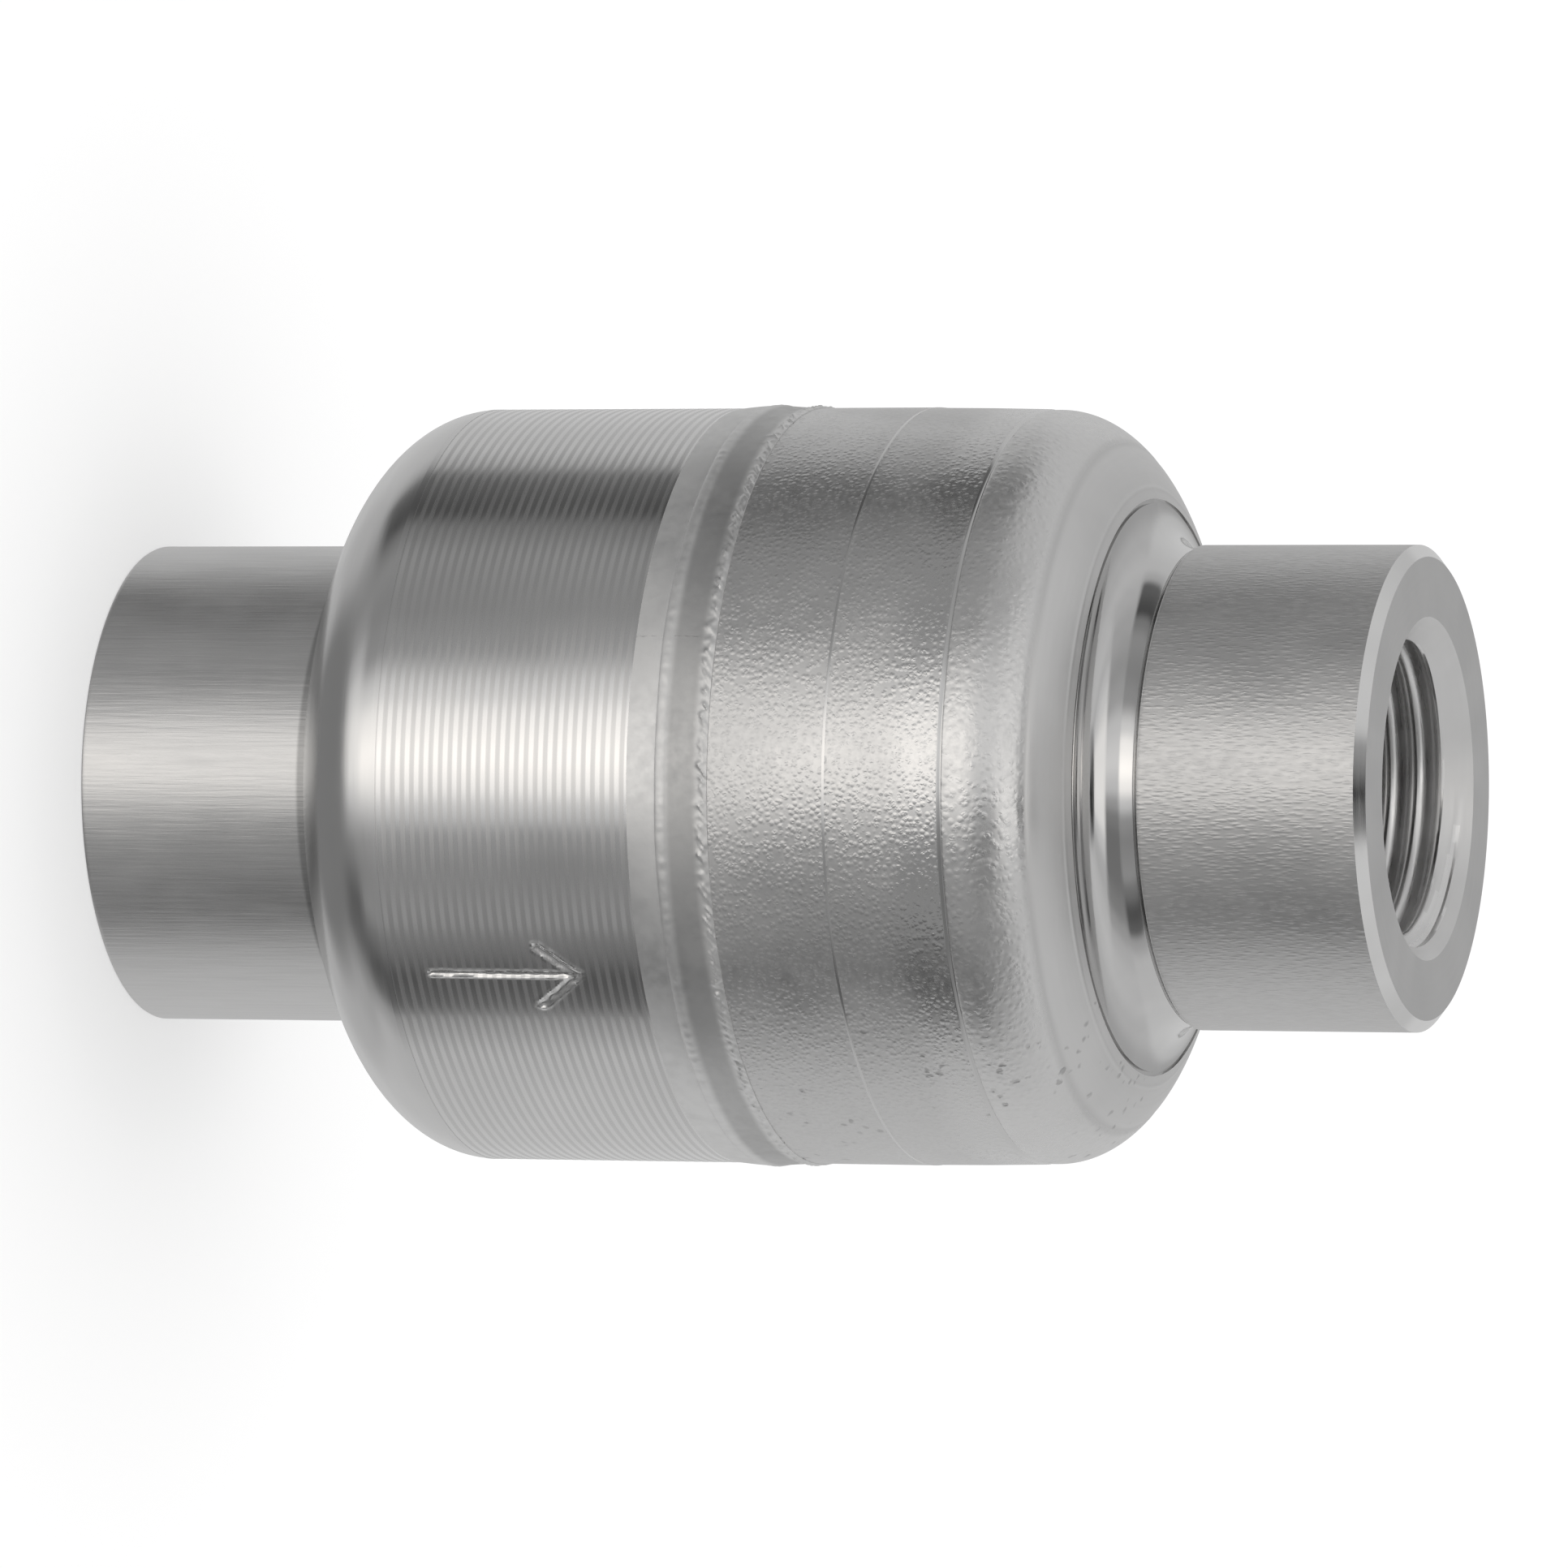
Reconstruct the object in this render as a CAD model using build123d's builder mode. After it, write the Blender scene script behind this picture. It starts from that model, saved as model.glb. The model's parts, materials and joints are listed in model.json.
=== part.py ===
from build123d import *
import os
from math import acos, degrees

# In-line spring-loaded non-return valve, G 1/2 female threads at both ends.
# Millimetres. The flow axis is +Z, from the inlet face at z = 0 to the outlet face,
# and the valve stands on its inlet end.

os.makedirs("parts", exist_ok=True)


# Driving dimensions of the shell

face_to_face = 88.0
barrel_radius = 25.0
barrel_wall = 4.0
spigot_radius = 15.9
inlet_rim_chamfer = 0.3
outlet_rim_chamfer = 0.85

# Inlet half, turned from bar: a domed shoulder, then the barrel up to the weld
inlet_dome_end = 24.1
inlet_dome_height = 7.9
inlet_dome_hidden = 1.05

# Outlet half, forged and partly machined
outlet_barrel_end = 62.5
outlet_barrel_taper = 0.15
outlet_taper_start = 54.8
shoulder_drop = 0.2
shoulder_band = 0.6
shoulder_step = 0.3
outlet_dome_width = 10.4
outlet_dome_height = 7.1
neck_radius = 18.95
neck_groove_depth = 0.2
neck_groove_width = 0.3
neck_fillet = 2.9
neck_length = 3.2
neck_undercut = 0.25

# Circumferential weld between the halves
weld_centre = 44.1
weld_width = 5.5
weld_root_gap = 0.3
weld_crown = 0.25
register_wall = 1.8
register_length = 3.0
register_end_gap = 0.2

# Pipe thread holes: the wall has the radius of the thread's crests
thread_hole_radius = 9.5
countersink_radius = 11.2
thread_length = 12.3
thread_relief_radius = 10.8
thread_relief_width = 1.5
inlet_port_radius = 8.2
inlet_port_wall = 2.0
outlet_port_radius = 9.0
outlet_funnel_length = 9.0
guide_shoulder_width = 1.4
guide_shoulder_setback = 1.0
chamber_corner_radius = 2.0

# Clearances
fit_clearance = 0.05
running_clearance = 0.06
hub_bore_clearance = 0.12
axial_clearance = 0.1
bore_gap = 0.8

# Seat group, in the counterbore of the inlet half
seat_flange_height = 3.1
seat_ledge_width = 1.85
seat_tower_height = 3.4
seat_tower_wall = 0.9
seat_lip_offset = 0.7
seat_lip_width = 0.8
seat_lip_height = 0.9
seat_snap_thickness = 1.0
seat_snap_width = 2.0
seat_snap_bite = 0.85
seat_snap_opening = 9.0
seat_groove_land = 0.9
o_ring_section = 1.6
o_ring_squeeze = 0.15
o_ring_corner = 0.5

# Inlet guide, a four-armed spider below the seat
guide_arms = 4
guide_arm_angle = 45.0
inlet_guide_thickness = 2.0
inlet_arm_width = 2.0
inlet_hub_wall = 1.4
inlet_hub_drop = 3.0
inlet_hub_rise = 0.8
inlet_hub_chamfer = 0.5
bush_wall = 0.9
bush_flange_width = 0.6
bush_flange_thickness = 0.5

# Moving group: stem, disc, seal, retainer, washer and nut
valve_lift = 4.5
stem_foot_radius = 2.0
stem_radius = 2.5
stem_foot_reach = 0.3
stem_head_reach = 2.0
stem_chamfer = 0.5
seal_thickness = 2.0
seal_inner_radius = 5.95
seal_overhang = 1.2
seal_recess_depth = 1.4
disc_rim_wall = 1.35
disc_plate_thickness = 3.0
disc_edge_chamfer = 1.0
disc_hub_radius = 5.6
disc_hub_height = 3.0
disc_hub_chamfer = 0.4
retainer_flange_thickness = 1.6
retainer_chamfer = 0.3
lock_washer_radius = 3.8
lock_washer_thickness = 0.9
lock_washer_split = 0.5
nut_sides = 6
nut_across_flats = 7.0
nut_height = 2.2
nut_chamfer = 0.35

# Closing spring, with open ground ends
spring_wire_radius = 0.4
spring_pilot_gap = 0.3
spring_turns = 8
spring_washer_width = 3.0
spring_washer_thickness = 0.5

# Outlet guide, a four-armed spider with a long hub inside the spring
outlet_arm_width = 3.0
outlet_arm_thickness = 4.0
outlet_ring_wall = 3.3
outlet_hub_radius = 5.0
outlet_hub_nose = 2.0
outlet_hub_chamfer = 1.0
outlet_bush_length = 14.0
outlet_snap_thickness = 1.5
outlet_snap_width = 2.6
outlet_snap_bite = 1.2
outlet_snap_opening = 9.0
snap_lug_radius = 1.7
snap_eye_radius = 0.8
snap_lug_inset = 3.4


# Levels worked out from the driving dimensions, from the inlet face upwards

chamber_radius = barrel_radius - barrel_wall
register_radius = chamber_radius + register_wall
countersink_depth = countersink_radius - thread_hole_radius

inlet_thread_end = countersink_depth + thread_length
inlet_relief_end = inlet_thread_end + thread_relief_width
counterbore_floor = inlet_relief_end + inlet_port_wall
seat_base = counterbore_floor + inlet_guide_thickness
seat_flange_top = seat_base + seat_flange_height
seat_groove_top = seat_flange_top + seat_snap_thickness + axial_clearance
chamber_floor = seat_groove_top + seat_groove_land
seat_level = seat_flange_top + seat_tower_height

seat_lip_inner = inlet_port_radius + seat_lip_offset
seat_lip_outer = seat_lip_inner + seat_lip_width
seat_tower_radius = seat_lip_outer + seat_tower_wall
seat_ring_radius = seat_tower_radius + seat_ledge_width
counterbore_radius = seat_ring_radius + fit_clearance

seal_top = seat_level + seal_thickness
seal_outer_radius = seat_tower_radius + seal_overhang
disc_recess_radius = seal_outer_radius + fit_clearance
disc_radius = disc_recess_radius + disc_rim_wall
disc_rim_level = seal_top - seal_recess_depth
disc_plate_top = seal_top + disc_plate_thickness
disc_hub_top = disc_plate_top + disc_hub_height
retainer_bottom = seat_level - retainer_flange_thickness
washer_bottom = retainer_bottom - lock_washer_thickness
nut_bottom = washer_bottom - nut_height

inlet_bush_bore = stem_foot_radius + running_clearance
inlet_bush_radius = inlet_bush_bore + bush_wall
inlet_hub_radius = inlet_bush_radius + fit_clearance + inlet_hub_wall
inlet_hub_bottom = counterbore_floor - inlet_hub_drop
inlet_hub_top = seat_base + inlet_hub_rise
stem_bottom = inlet_hub_bottom - stem_foot_reach

outlet_bush_bore = stem_radius + running_clearance
outlet_bush_radius = outlet_bush_bore + bush_wall
outlet_hub_bottom = disc_hub_top + valve_lift + axial_clearance
guide_shoulder = outlet_barrel_end - guide_shoulder_setback
guide_ring_bottom = guide_shoulder - outlet_arm_thickness
outlet_hub_top = guide_shoulder + outlet_hub_nose
stem_top = outlet_hub_top + stem_head_reach
guide_ring_radius = chamber_radius - fit_clearance
guide_shoulder_radius = chamber_radius - guide_shoulder_width
outlet_snap_bottom = guide_ring_bottom - outlet_snap_thickness

spring_top = guide_ring_bottom - spring_washer_thickness
spring_radius = disc_hub_radius + spring_pilot_gap + spring_wire_radius
spring_length = spring_top - disc_plate_top

funnel_end = guide_shoulder + outlet_funnel_length
outlet_thread_start = face_to_face - countersink_depth - thread_length
outlet_relief_start = outlet_thread_start - thread_relief_width

inlet_bevel_start = weld_centre - weld_width / 2
inlet_root = weld_centre - weld_root_gap / 2
outlet_root = weld_centre + weld_root_gap / 2
outlet_bevel_end = weld_centre + weld_width / 2
register_end = weld_centre + register_length


def save(part, name):
    """Label a finished piece and write it to its own file."""
    part.label = name
    export_step(part, f"parts/{name}.step")


def dome_angle(width, hidden):
    """Angle on a quarter ellipse at which it comes out from under the spigot."""
    return degrees(acos(hidden / width))


# Shell: inlet half

inlet_dome_width = barrel_radius - spigot_radius + inlet_dome_hidden
inlet_dome_angle = dome_angle(inlet_dome_width, inlet_dome_hidden)

with BuildPart() as inlet_body:
    with BuildSketch(Plane.XZ):
        with BuildLine():
            shoulder = EllipticalCenterArc(
                (barrel_radius - inlet_dome_width, inlet_dome_end),
                inlet_dome_width,
                inlet_dome_height,
                start_angle=-inlet_dome_angle,
                arc_size=inlet_dome_angle,
            )
            Polyline(
                shoulder @ 1,
                (barrel_radius, inlet_bevel_start),
                (register_radius, inlet_root),
                (register_radius, register_end),
                (0, register_end),
                (0, 0),
                (spigot_radius - inlet_rim_chamfer, 0),
                (spigot_radius, inlet_rim_chamfer),
                shoulder @ 0,
            )
        make_face()
    revolve(axis=Axis.Z)
    # Threaded hole, relief and port, bored from the inlet face
    with BuildSketch(Plane.XZ):
        with BuildLine():
            Polyline(
                (0, 0),
                (countersink_radius, 0),
                (thread_hole_radius, countersink_depth),
                (thread_hole_radius, inlet_thread_end),
                (thread_relief_radius, inlet_thread_end),
                (thread_relief_radius, inlet_relief_end),
                (inlet_port_radius, inlet_relief_end),
                (inlet_port_radius, counterbore_floor),
                (0, counterbore_floor),
                close=True,
            )
        make_face()
    revolve(axis=Axis.Z, mode=Mode.SUBTRACT)
    # Counterbore for the seat, with the groove of its snap ring
    with BuildSketch(Plane.XZ):
        with BuildLine():
            Polyline(
                (0, counterbore_floor),
                (counterbore_radius, counterbore_floor),
                (counterbore_radius, seat_flange_top),
                (counterbore_radius + seat_snap_bite, seat_flange_top),
                (counterbore_radius + seat_snap_bite, seat_groove_top),
                (counterbore_radius, seat_groove_top),
                (counterbore_radius, chamber_floor),
                (0, chamber_floor),
                close=True,
            )
        make_face()
    revolve(axis=Axis.Z, mode=Mode.SUBTRACT)
    # Chamber, open towards the weld
    with BuildSketch(Plane.XZ):
        with BuildLine():
            corner = RadiusArc(
                (chamber_radius - chamber_corner_radius, chamber_floor),
                (chamber_radius, chamber_floor + chamber_corner_radius),
                -chamber_corner_radius,
            )
            Polyline(
                corner @ 1,
                (chamber_radius, register_end),
                (0, register_end),
                (0, chamber_floor),
                corner @ 0,
            )
        make_face()
    revolve(axis=Axis.Z, mode=Mode.SUBTRACT)

save(inlet_body.part, "inlet_body")


# Shell: outlet half

shoulder_radius = barrel_radius - shoulder_drop
taper_radius = barrel_radius - outlet_barrel_taper
outlet_dome_start = outlet_barrel_end + shoulder_band
outlet_dome_centre = shoulder_radius - outlet_dome_width
outlet_dome_angle = dome_angle(outlet_dome_width, neck_radius - outlet_dome_centre)

with BuildPart() as outlet_body:
    with BuildSketch(Plane.XZ):
        with BuildLine():
            dome = EllipticalCenterArc(
                (outlet_dome_centre, outlet_dome_start),
                outlet_dome_width,
                outlet_dome_height,
                arc_size=outlet_dome_angle,
            )
            groove = Polyline(
                dome @ 1,
                dome @ 1 - (neck_groove_depth, 0),
                dome @ 1 + (-neck_groove_depth, neck_groove_width),
            )
            neck = RadiusArc(
                groove @ 1,
                (spigot_radius - neck_undercut, (groove @ 1).Y + neck_length),
                neck_fillet,
            )
            Polyline(
                neck @ 1,
                (spigot_radius, (neck @ 1).Y),
                (spigot_radius, face_to_face - outlet_rim_chamfer),
                (spigot_radius - outlet_rim_chamfer, face_to_face),
                (0, face_to_face),
                (0, outlet_root),
                (register_radius, outlet_root),
                (barrel_radius, outlet_bevel_end),
                (barrel_radius, outlet_taper_start),
                (taper_radius, outlet_barrel_end),
                (shoulder_radius - shoulder_step, outlet_barrel_end),
                (shoulder_radius, outlet_barrel_end + shoulder_step),
                dome @ 0,
            )
        make_face()
    revolve(axis=Axis.Z)
    # Register recess, chamber, snap ring groove, shoulder, funnel, port and threaded hole
    with BuildSketch(Plane.XZ):
        with BuildLine():
            Polyline(
                (0, outlet_root),
                (register_radius + fit_clearance, outlet_root),
                (register_radius + fit_clearance, register_end + register_end_gap),
                (chamber_radius, register_end + register_end_gap),
                (chamber_radius, outlet_snap_bottom - axial_clearance),
                (chamber_radius + outlet_snap_bite, outlet_snap_bottom - axial_clearance),
                (chamber_radius + outlet_snap_bite, guide_ring_bottom),
                (chamber_radius, guide_ring_bottom),
                (chamber_radius, guide_shoulder),
                (guide_shoulder_radius, guide_shoulder),
                (outlet_port_radius, funnel_end),
                (outlet_port_radius, outlet_relief_start),
                (thread_relief_radius, outlet_relief_start),
                (thread_relief_radius, outlet_thread_start),
                (thread_hole_radius, outlet_thread_start),
                (thread_hole_radius, face_to_face - countersink_depth),
                (countersink_radius, face_to_face),
                (0, face_to_face),
                close=True,
            )
        make_face()
    revolve(axis=Axis.Z, mode=Mode.SUBTRACT)

save(outlet_body.part, "outlet_body")


# Weld bead, filling the groove between the halves with a crowned cap

with BuildPart() as weld_bead:
    with BuildSketch(Plane.XZ):
        with BuildLine():
            cap = ThreePointArc(
                (barrel_radius, outlet_bevel_end),
                (barrel_radius + weld_crown, weld_centre),
                (barrel_radius, inlet_bevel_start),
            )
            Polyline(
                cap @ 1,
                (register_radius, inlet_root),
                (register_radius, outlet_root),
                cap @ 0,
            )
        make_face()
    revolve(axis=Axis.Z)

save(weld_bead.part, "weld_bead")


# Seat ring: flange with an O-ring groove, tower and raised seating lip

o_ring_groove_depth = o_ring_section - o_ring_squeeze
o_ring_groove_bottom = seat_base + (seat_flange_height - o_ring_section) / 2

with BuildPart() as seat_ring:
    with BuildSketch(Plane.XZ):
        with BuildLine():
            Polyline(
                (inlet_port_radius, seat_base),
                (seat_ring_radius, seat_base),
                (seat_ring_radius, seat_flange_top),
                (seat_tower_radius, seat_flange_top),
                (seat_tower_radius, seat_level - seat_lip_height),
                (seat_lip_outer, seat_level),
                (seat_lip_inner, seat_level),
                (inlet_port_radius, seat_level - seat_lip_height),
                close=True,
            )
        make_face()
    revolve(axis=Axis.Z)
    with BuildSketch(Plane.XY.offset(o_ring_groove_bottom)):
        Circle(counterbore_radius)
        Circle(counterbore_radius - o_ring_groove_depth, mode=Mode.SUBTRACT)
    extrude(amount=o_ring_section, mode=Mode.SUBTRACT)

save(seat_ring.part, "seat_ring")


# O-ring, pressed to the shape of its groove

with BuildPart() as seat_o_ring:
    with BuildSketch(Plane.XZ):
        with Locations(
            (counterbore_radius - o_ring_groove_depth / 2, o_ring_groove_bottom + o_ring_section / 2)
        ):
            RectangleRounded(o_ring_groove_depth, o_ring_section, o_ring_corner)
    revolve(axis=Axis.Z)

save(seat_o_ring.part, "seat_o_ring")


# Snap ring over the seat flange: a flat open ring

snap_outer_radius = counterbore_radius + seat_snap_bite - fit_clearance

with BuildPart() as seat_snap_ring:
    with BuildSketch(Plane.XY.offset(seat_flange_top)):
        Circle(snap_outer_radius)
        Circle(snap_outer_radius - seat_snap_width, mode=Mode.SUBTRACT)
        with Locations((snap_outer_radius, 0)):
            Rectangle(snap_outer_radius, seat_snap_opening, mode=Mode.SUBTRACT)
    extrude(amount=seat_snap_thickness)

save(seat_snap_ring.part, "seat_snap_ring")


# Inlet guide: ring, four arms and a hub that reaches down into the port

inlet_arm_reach = (seat_ring_radius + inlet_port_radius) / 2

with BuildPart() as inlet_guide:
    with BuildSketch(Plane.XY.offset(counterbore_floor)):
        Circle(seat_ring_radius)
        Circle(inlet_port_radius, mode=Mode.SUBTRACT)
        with PolarLocations(inlet_arm_reach / 2, guide_arms, start_angle=guide_arm_angle):
            Rectangle(inlet_arm_reach, inlet_arm_width)
    extrude(amount=inlet_guide_thickness)
    with BuildSketch(Plane.XZ):
        with BuildLine():
            Polyline(
                (0, inlet_hub_bottom),
                (inlet_hub_radius - inlet_hub_chamfer, inlet_hub_bottom),
                (inlet_hub_radius, inlet_hub_bottom + inlet_hub_chamfer),
                (inlet_hub_radius, inlet_hub_top),
                (0, inlet_hub_top),
                close=True,
            )
        make_face()
    revolve(axis=Axis.Z)
    with BuildSketch(Plane.XY.offset(inlet_hub_bottom)):
        Circle(inlet_bush_radius + fit_clearance)
    extrude(amount=inlet_hub_top - inlet_hub_bottom, mode=Mode.SUBTRACT)

save(inlet_guide.part, "inlet_guide")


# Flanged bush in the inlet guide

with BuildPart() as inlet_guide_bush:
    with BuildSketch(Plane.XZ):
        with BuildLine():
            Polyline(
                (inlet_bush_bore, inlet_hub_bottom),
                (inlet_bush_radius, inlet_hub_bottom),
                (inlet_bush_radius, inlet_hub_top),
                (inlet_bush_radius + bush_flange_width, inlet_hub_top),
                (inlet_bush_radius + bush_flange_width, inlet_hub_top + bush_flange_thickness),
                (inlet_bush_bore, inlet_hub_top + bush_flange_thickness),
                close=True,
            )
        make_face()
    revolve(axis=Axis.Z)

save(inlet_guide_bush.part, "inlet_guide_bush")


# Guide stem: a foot for the disc, washer and nut, and a thicker guided head

with BuildPart() as guide_stem:
    with BuildSketch(Plane.XZ):
        with BuildLine():
            Polyline(
                (0, stem_bottom),
                (stem_foot_radius - stem_chamfer, stem_bottom),
                (stem_foot_radius, stem_bottom + stem_chamfer),
                (stem_foot_radius, disc_hub_top),
                (stem_radius, disc_hub_top),
                (stem_radius, stem_top - stem_chamfer),
                (stem_radius - stem_chamfer, stem_top),
                (0, stem_top),
                close=True,
            )
        make_face()
    revolve(axis=Axis.Z)

save(guide_stem.part, "guide_stem")


# Valve disc: recess for the seal below, plate, and a hub that centres the spring

with BuildPart() as valve_disc:
    with BuildSketch(Plane.XZ):
        with BuildLine():
            Polyline(
                (stem_foot_radius + fit_clearance, seal_top),
                (disc_recess_radius, seal_top),
                (disc_recess_radius, disc_rim_level),
                (disc_radius, disc_rim_level),
                (disc_radius, disc_plate_top - disc_edge_chamfer),
                (disc_radius - disc_edge_chamfer, disc_plate_top),
                (disc_hub_radius, disc_plate_top),
                (disc_hub_radius, disc_hub_top - disc_hub_chamfer),
                (disc_hub_radius - disc_hub_chamfer, disc_hub_top),
                (stem_foot_radius + fit_clearance, disc_hub_top),
                close=True,
            )
        make_face()
    revolve(axis=Axis.Z)

save(valve_disc.part, "valve_disc")


# Seal ring in the recess of the disc

with BuildPart() as disc_seal:
    with BuildSketch(Plane.XY.offset(seat_level)):
        Circle(seal_outer_radius)
        Circle(seal_inner_radius, mode=Mode.SUBTRACT)
    extrude(amount=seal_thickness)

save(disc_seal.part, "disc_seal")


# Retainer: a flange under the seal and a hub inside it

retainer_flange_radius = inlet_port_radius - bore_gap

with BuildPart() as seal_retainer:
    with BuildSketch(Plane.XZ):
        with BuildLine():
            Polyline(
                (stem_foot_radius + fit_clearance, retainer_bottom),
                (retainer_flange_radius - retainer_chamfer, retainer_bottom),
                (retainer_flange_radius, retainer_bottom + retainer_chamfer),
                (retainer_flange_radius, seat_level),
                (seal_inner_radius - fit_clearance, seat_level),
                (seal_inner_radius - fit_clearance, seal_top),
                (stem_foot_radius + fit_clearance, seal_top),
                close=True,
            )
        make_face()
    revolve(axis=Axis.Z)

save(seal_retainer.part, "seal_retainer")


# Split lock washer under the nut

with BuildPart() as stem_lock_washer:
    with BuildSketch(Plane.XY.offset(washer_bottom)):
        Circle(lock_washer_radius)
        Circle(stem_foot_radius + fit_clearance, mode=Mode.SUBTRACT)
        with Locations((lock_washer_radius / 2, 0)):
            Rectangle(lock_washer_radius, lock_washer_split, mode=Mode.SUBTRACT)
    extrude(amount=lock_washer_thickness)

save(stem_lock_washer.part, "stem_lock_washer")


# Stem nut

with BuildPart() as stem_nut:
    with BuildSketch(Plane.XY.offset(nut_bottom)):
        RegularPolygon(nut_across_flats / 2, nut_sides, major_radius=False)
    extrude(amount=nut_height)
    with BuildSketch(Plane.XZ):
        with BuildLine():
            Polyline(
                (0, nut_bottom),
                (nut_across_flats / 2, nut_bottom),
                (nut_across_flats / 2 + 2 * nut_chamfer, nut_bottom + nut_chamfer),
                (nut_across_flats / 2 + 2 * nut_chamfer, nut_bottom + nut_height),
                (0, nut_bottom + nut_height),
                close=True,
            )
        make_face()
    revolve(axis=Axis.Z, mode=Mode.INTERSECT)
    with BuildSketch(Plane.XY.offset(nut_bottom)):
        Circle(stem_foot_radius + fit_clearance)
    extrude(amount=nut_height, mode=Mode.SUBTRACT)

save(stem_nut.part, "stem_nut")


# Closing spring: a helix of round wire, ground flat at both ends

with BuildPart() as closing_spring:
    with BuildLine():
        coil = Helix(
            pitch=spring_length / spring_turns,
            height=spring_length,
            radius=spring_radius,
            center=(0, 0, disc_plate_top),
        )
    with BuildSketch(Plane(coil @ 0, z_dir=coil % 0)):
        Circle(spring_wire_radius)
    sweep(path=coil, is_frenet=True)
    split(bisect_by=Plane.XY.offset(disc_plate_top), keep=Keep.TOP)
    split(bisect_by=Plane.XY.offset(spring_top), keep=Keep.BOTTOM)

save(closing_spring.part, "closing_spring")


# Washer that carries the spring on the arms of the outlet guide

with BuildPart() as spring_washer:
    with BuildSketch(Plane.XY.offset(spring_top)):
        Circle(outlet_hub_radius + fit_clearance + spring_washer_width)
        Circle(outlet_hub_radius + fit_clearance, mode=Mode.SUBTRACT)
    extrude(amount=spring_washer_thickness)

save(spring_washer.part, "spring_washer")


# Outlet guide: ring, four arms and a long hub that also stops the disc at full lift

outlet_arm_reach = guide_ring_radius - outlet_ring_wall / 2

with BuildPart() as outlet_guide:
    with BuildSketch(Plane.XY.offset(guide_ring_bottom)):
        Circle(guide_ring_radius)
        Circle(guide_ring_radius - outlet_ring_wall, mode=Mode.SUBTRACT)
        with PolarLocations(outlet_arm_reach / 2, guide_arms, start_angle=guide_arm_angle):
            Rectangle(outlet_arm_reach, outlet_arm_width)
    extrude(amount=outlet_arm_thickness)
    with BuildSketch(Plane.XZ):
        with BuildLine():
            Polyline(
                (0, outlet_hub_bottom),
                (outlet_hub_radius, outlet_hub_bottom),
                (outlet_hub_radius, outlet_hub_top - outlet_hub_chamfer),
                (outlet_hub_radius - outlet_hub_chamfer, outlet_hub_top),
                (0, outlet_hub_top),
                close=True,
            )
        make_face()
    revolve(axis=Axis.Z)
    # Bore of the stem, widened for the bush from the outlet side
    with BuildSketch(Plane.XY.offset(outlet_hub_bottom)):
        Circle(stem_radius + hub_bore_clearance)
    extrude(amount=outlet_hub_top - outlet_hub_bottom, mode=Mode.SUBTRACT)
    with BuildSketch(Plane.XY.offset(outlet_hub_top)):
        Circle(outlet_bush_radius + fit_clearance)
    extrude(amount=-outlet_bush_length, mode=Mode.SUBTRACT)

save(outlet_guide.part, "outlet_guide")


# Plain bush in the outlet guide

with BuildPart() as outlet_guide_bush:
    with BuildSketch(Plane.XY.offset(outlet_hub_top)):
        Circle(outlet_bush_radius)
        Circle(outlet_bush_bore, mode=Mode.SUBTRACT)
    extrude(amount=-outlet_bush_length)

save(outlet_guide_bush.part, "outlet_guide_bush")


# Internal retaining ring of the outlet guide, with two eyed lugs

outlet_snap_radius = chamber_radius + outlet_snap_bite - fit_clearance
lug_centre = outlet_snap_radius - snap_lug_inset
lug_offset = outlet_snap_opening / 2 + snap_lug_radius / 2

with BuildPart() as outlet_guide_snap_ring:
    with BuildSketch(Plane.XY.offset(outlet_snap_bottom).rotated((0, 0, guide_arm_angle))):
        Circle(outlet_snap_radius)
        Circle(outlet_snap_radius - outlet_snap_width, mode=Mode.SUBTRACT)
        with Locations((outlet_snap_radius, 0)):
            Rectangle(outlet_snap_radius, outlet_snap_opening, mode=Mode.SUBTRACT)
        with Locations((lug_centre, lug_offset), (lug_centre, -lug_offset)):
            Circle(snap_lug_radius)
            Circle(snap_eye_radius, mode=Mode.SUBTRACT)
    extrude(amount=outlet_snap_thickness)

save(outlet_guide_snap_ring.part, "outlet_guide_snap_ring")
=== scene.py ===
import json
import math
import bmesh
import bpy
from mathutils import Matrix, Vector, noise


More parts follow.
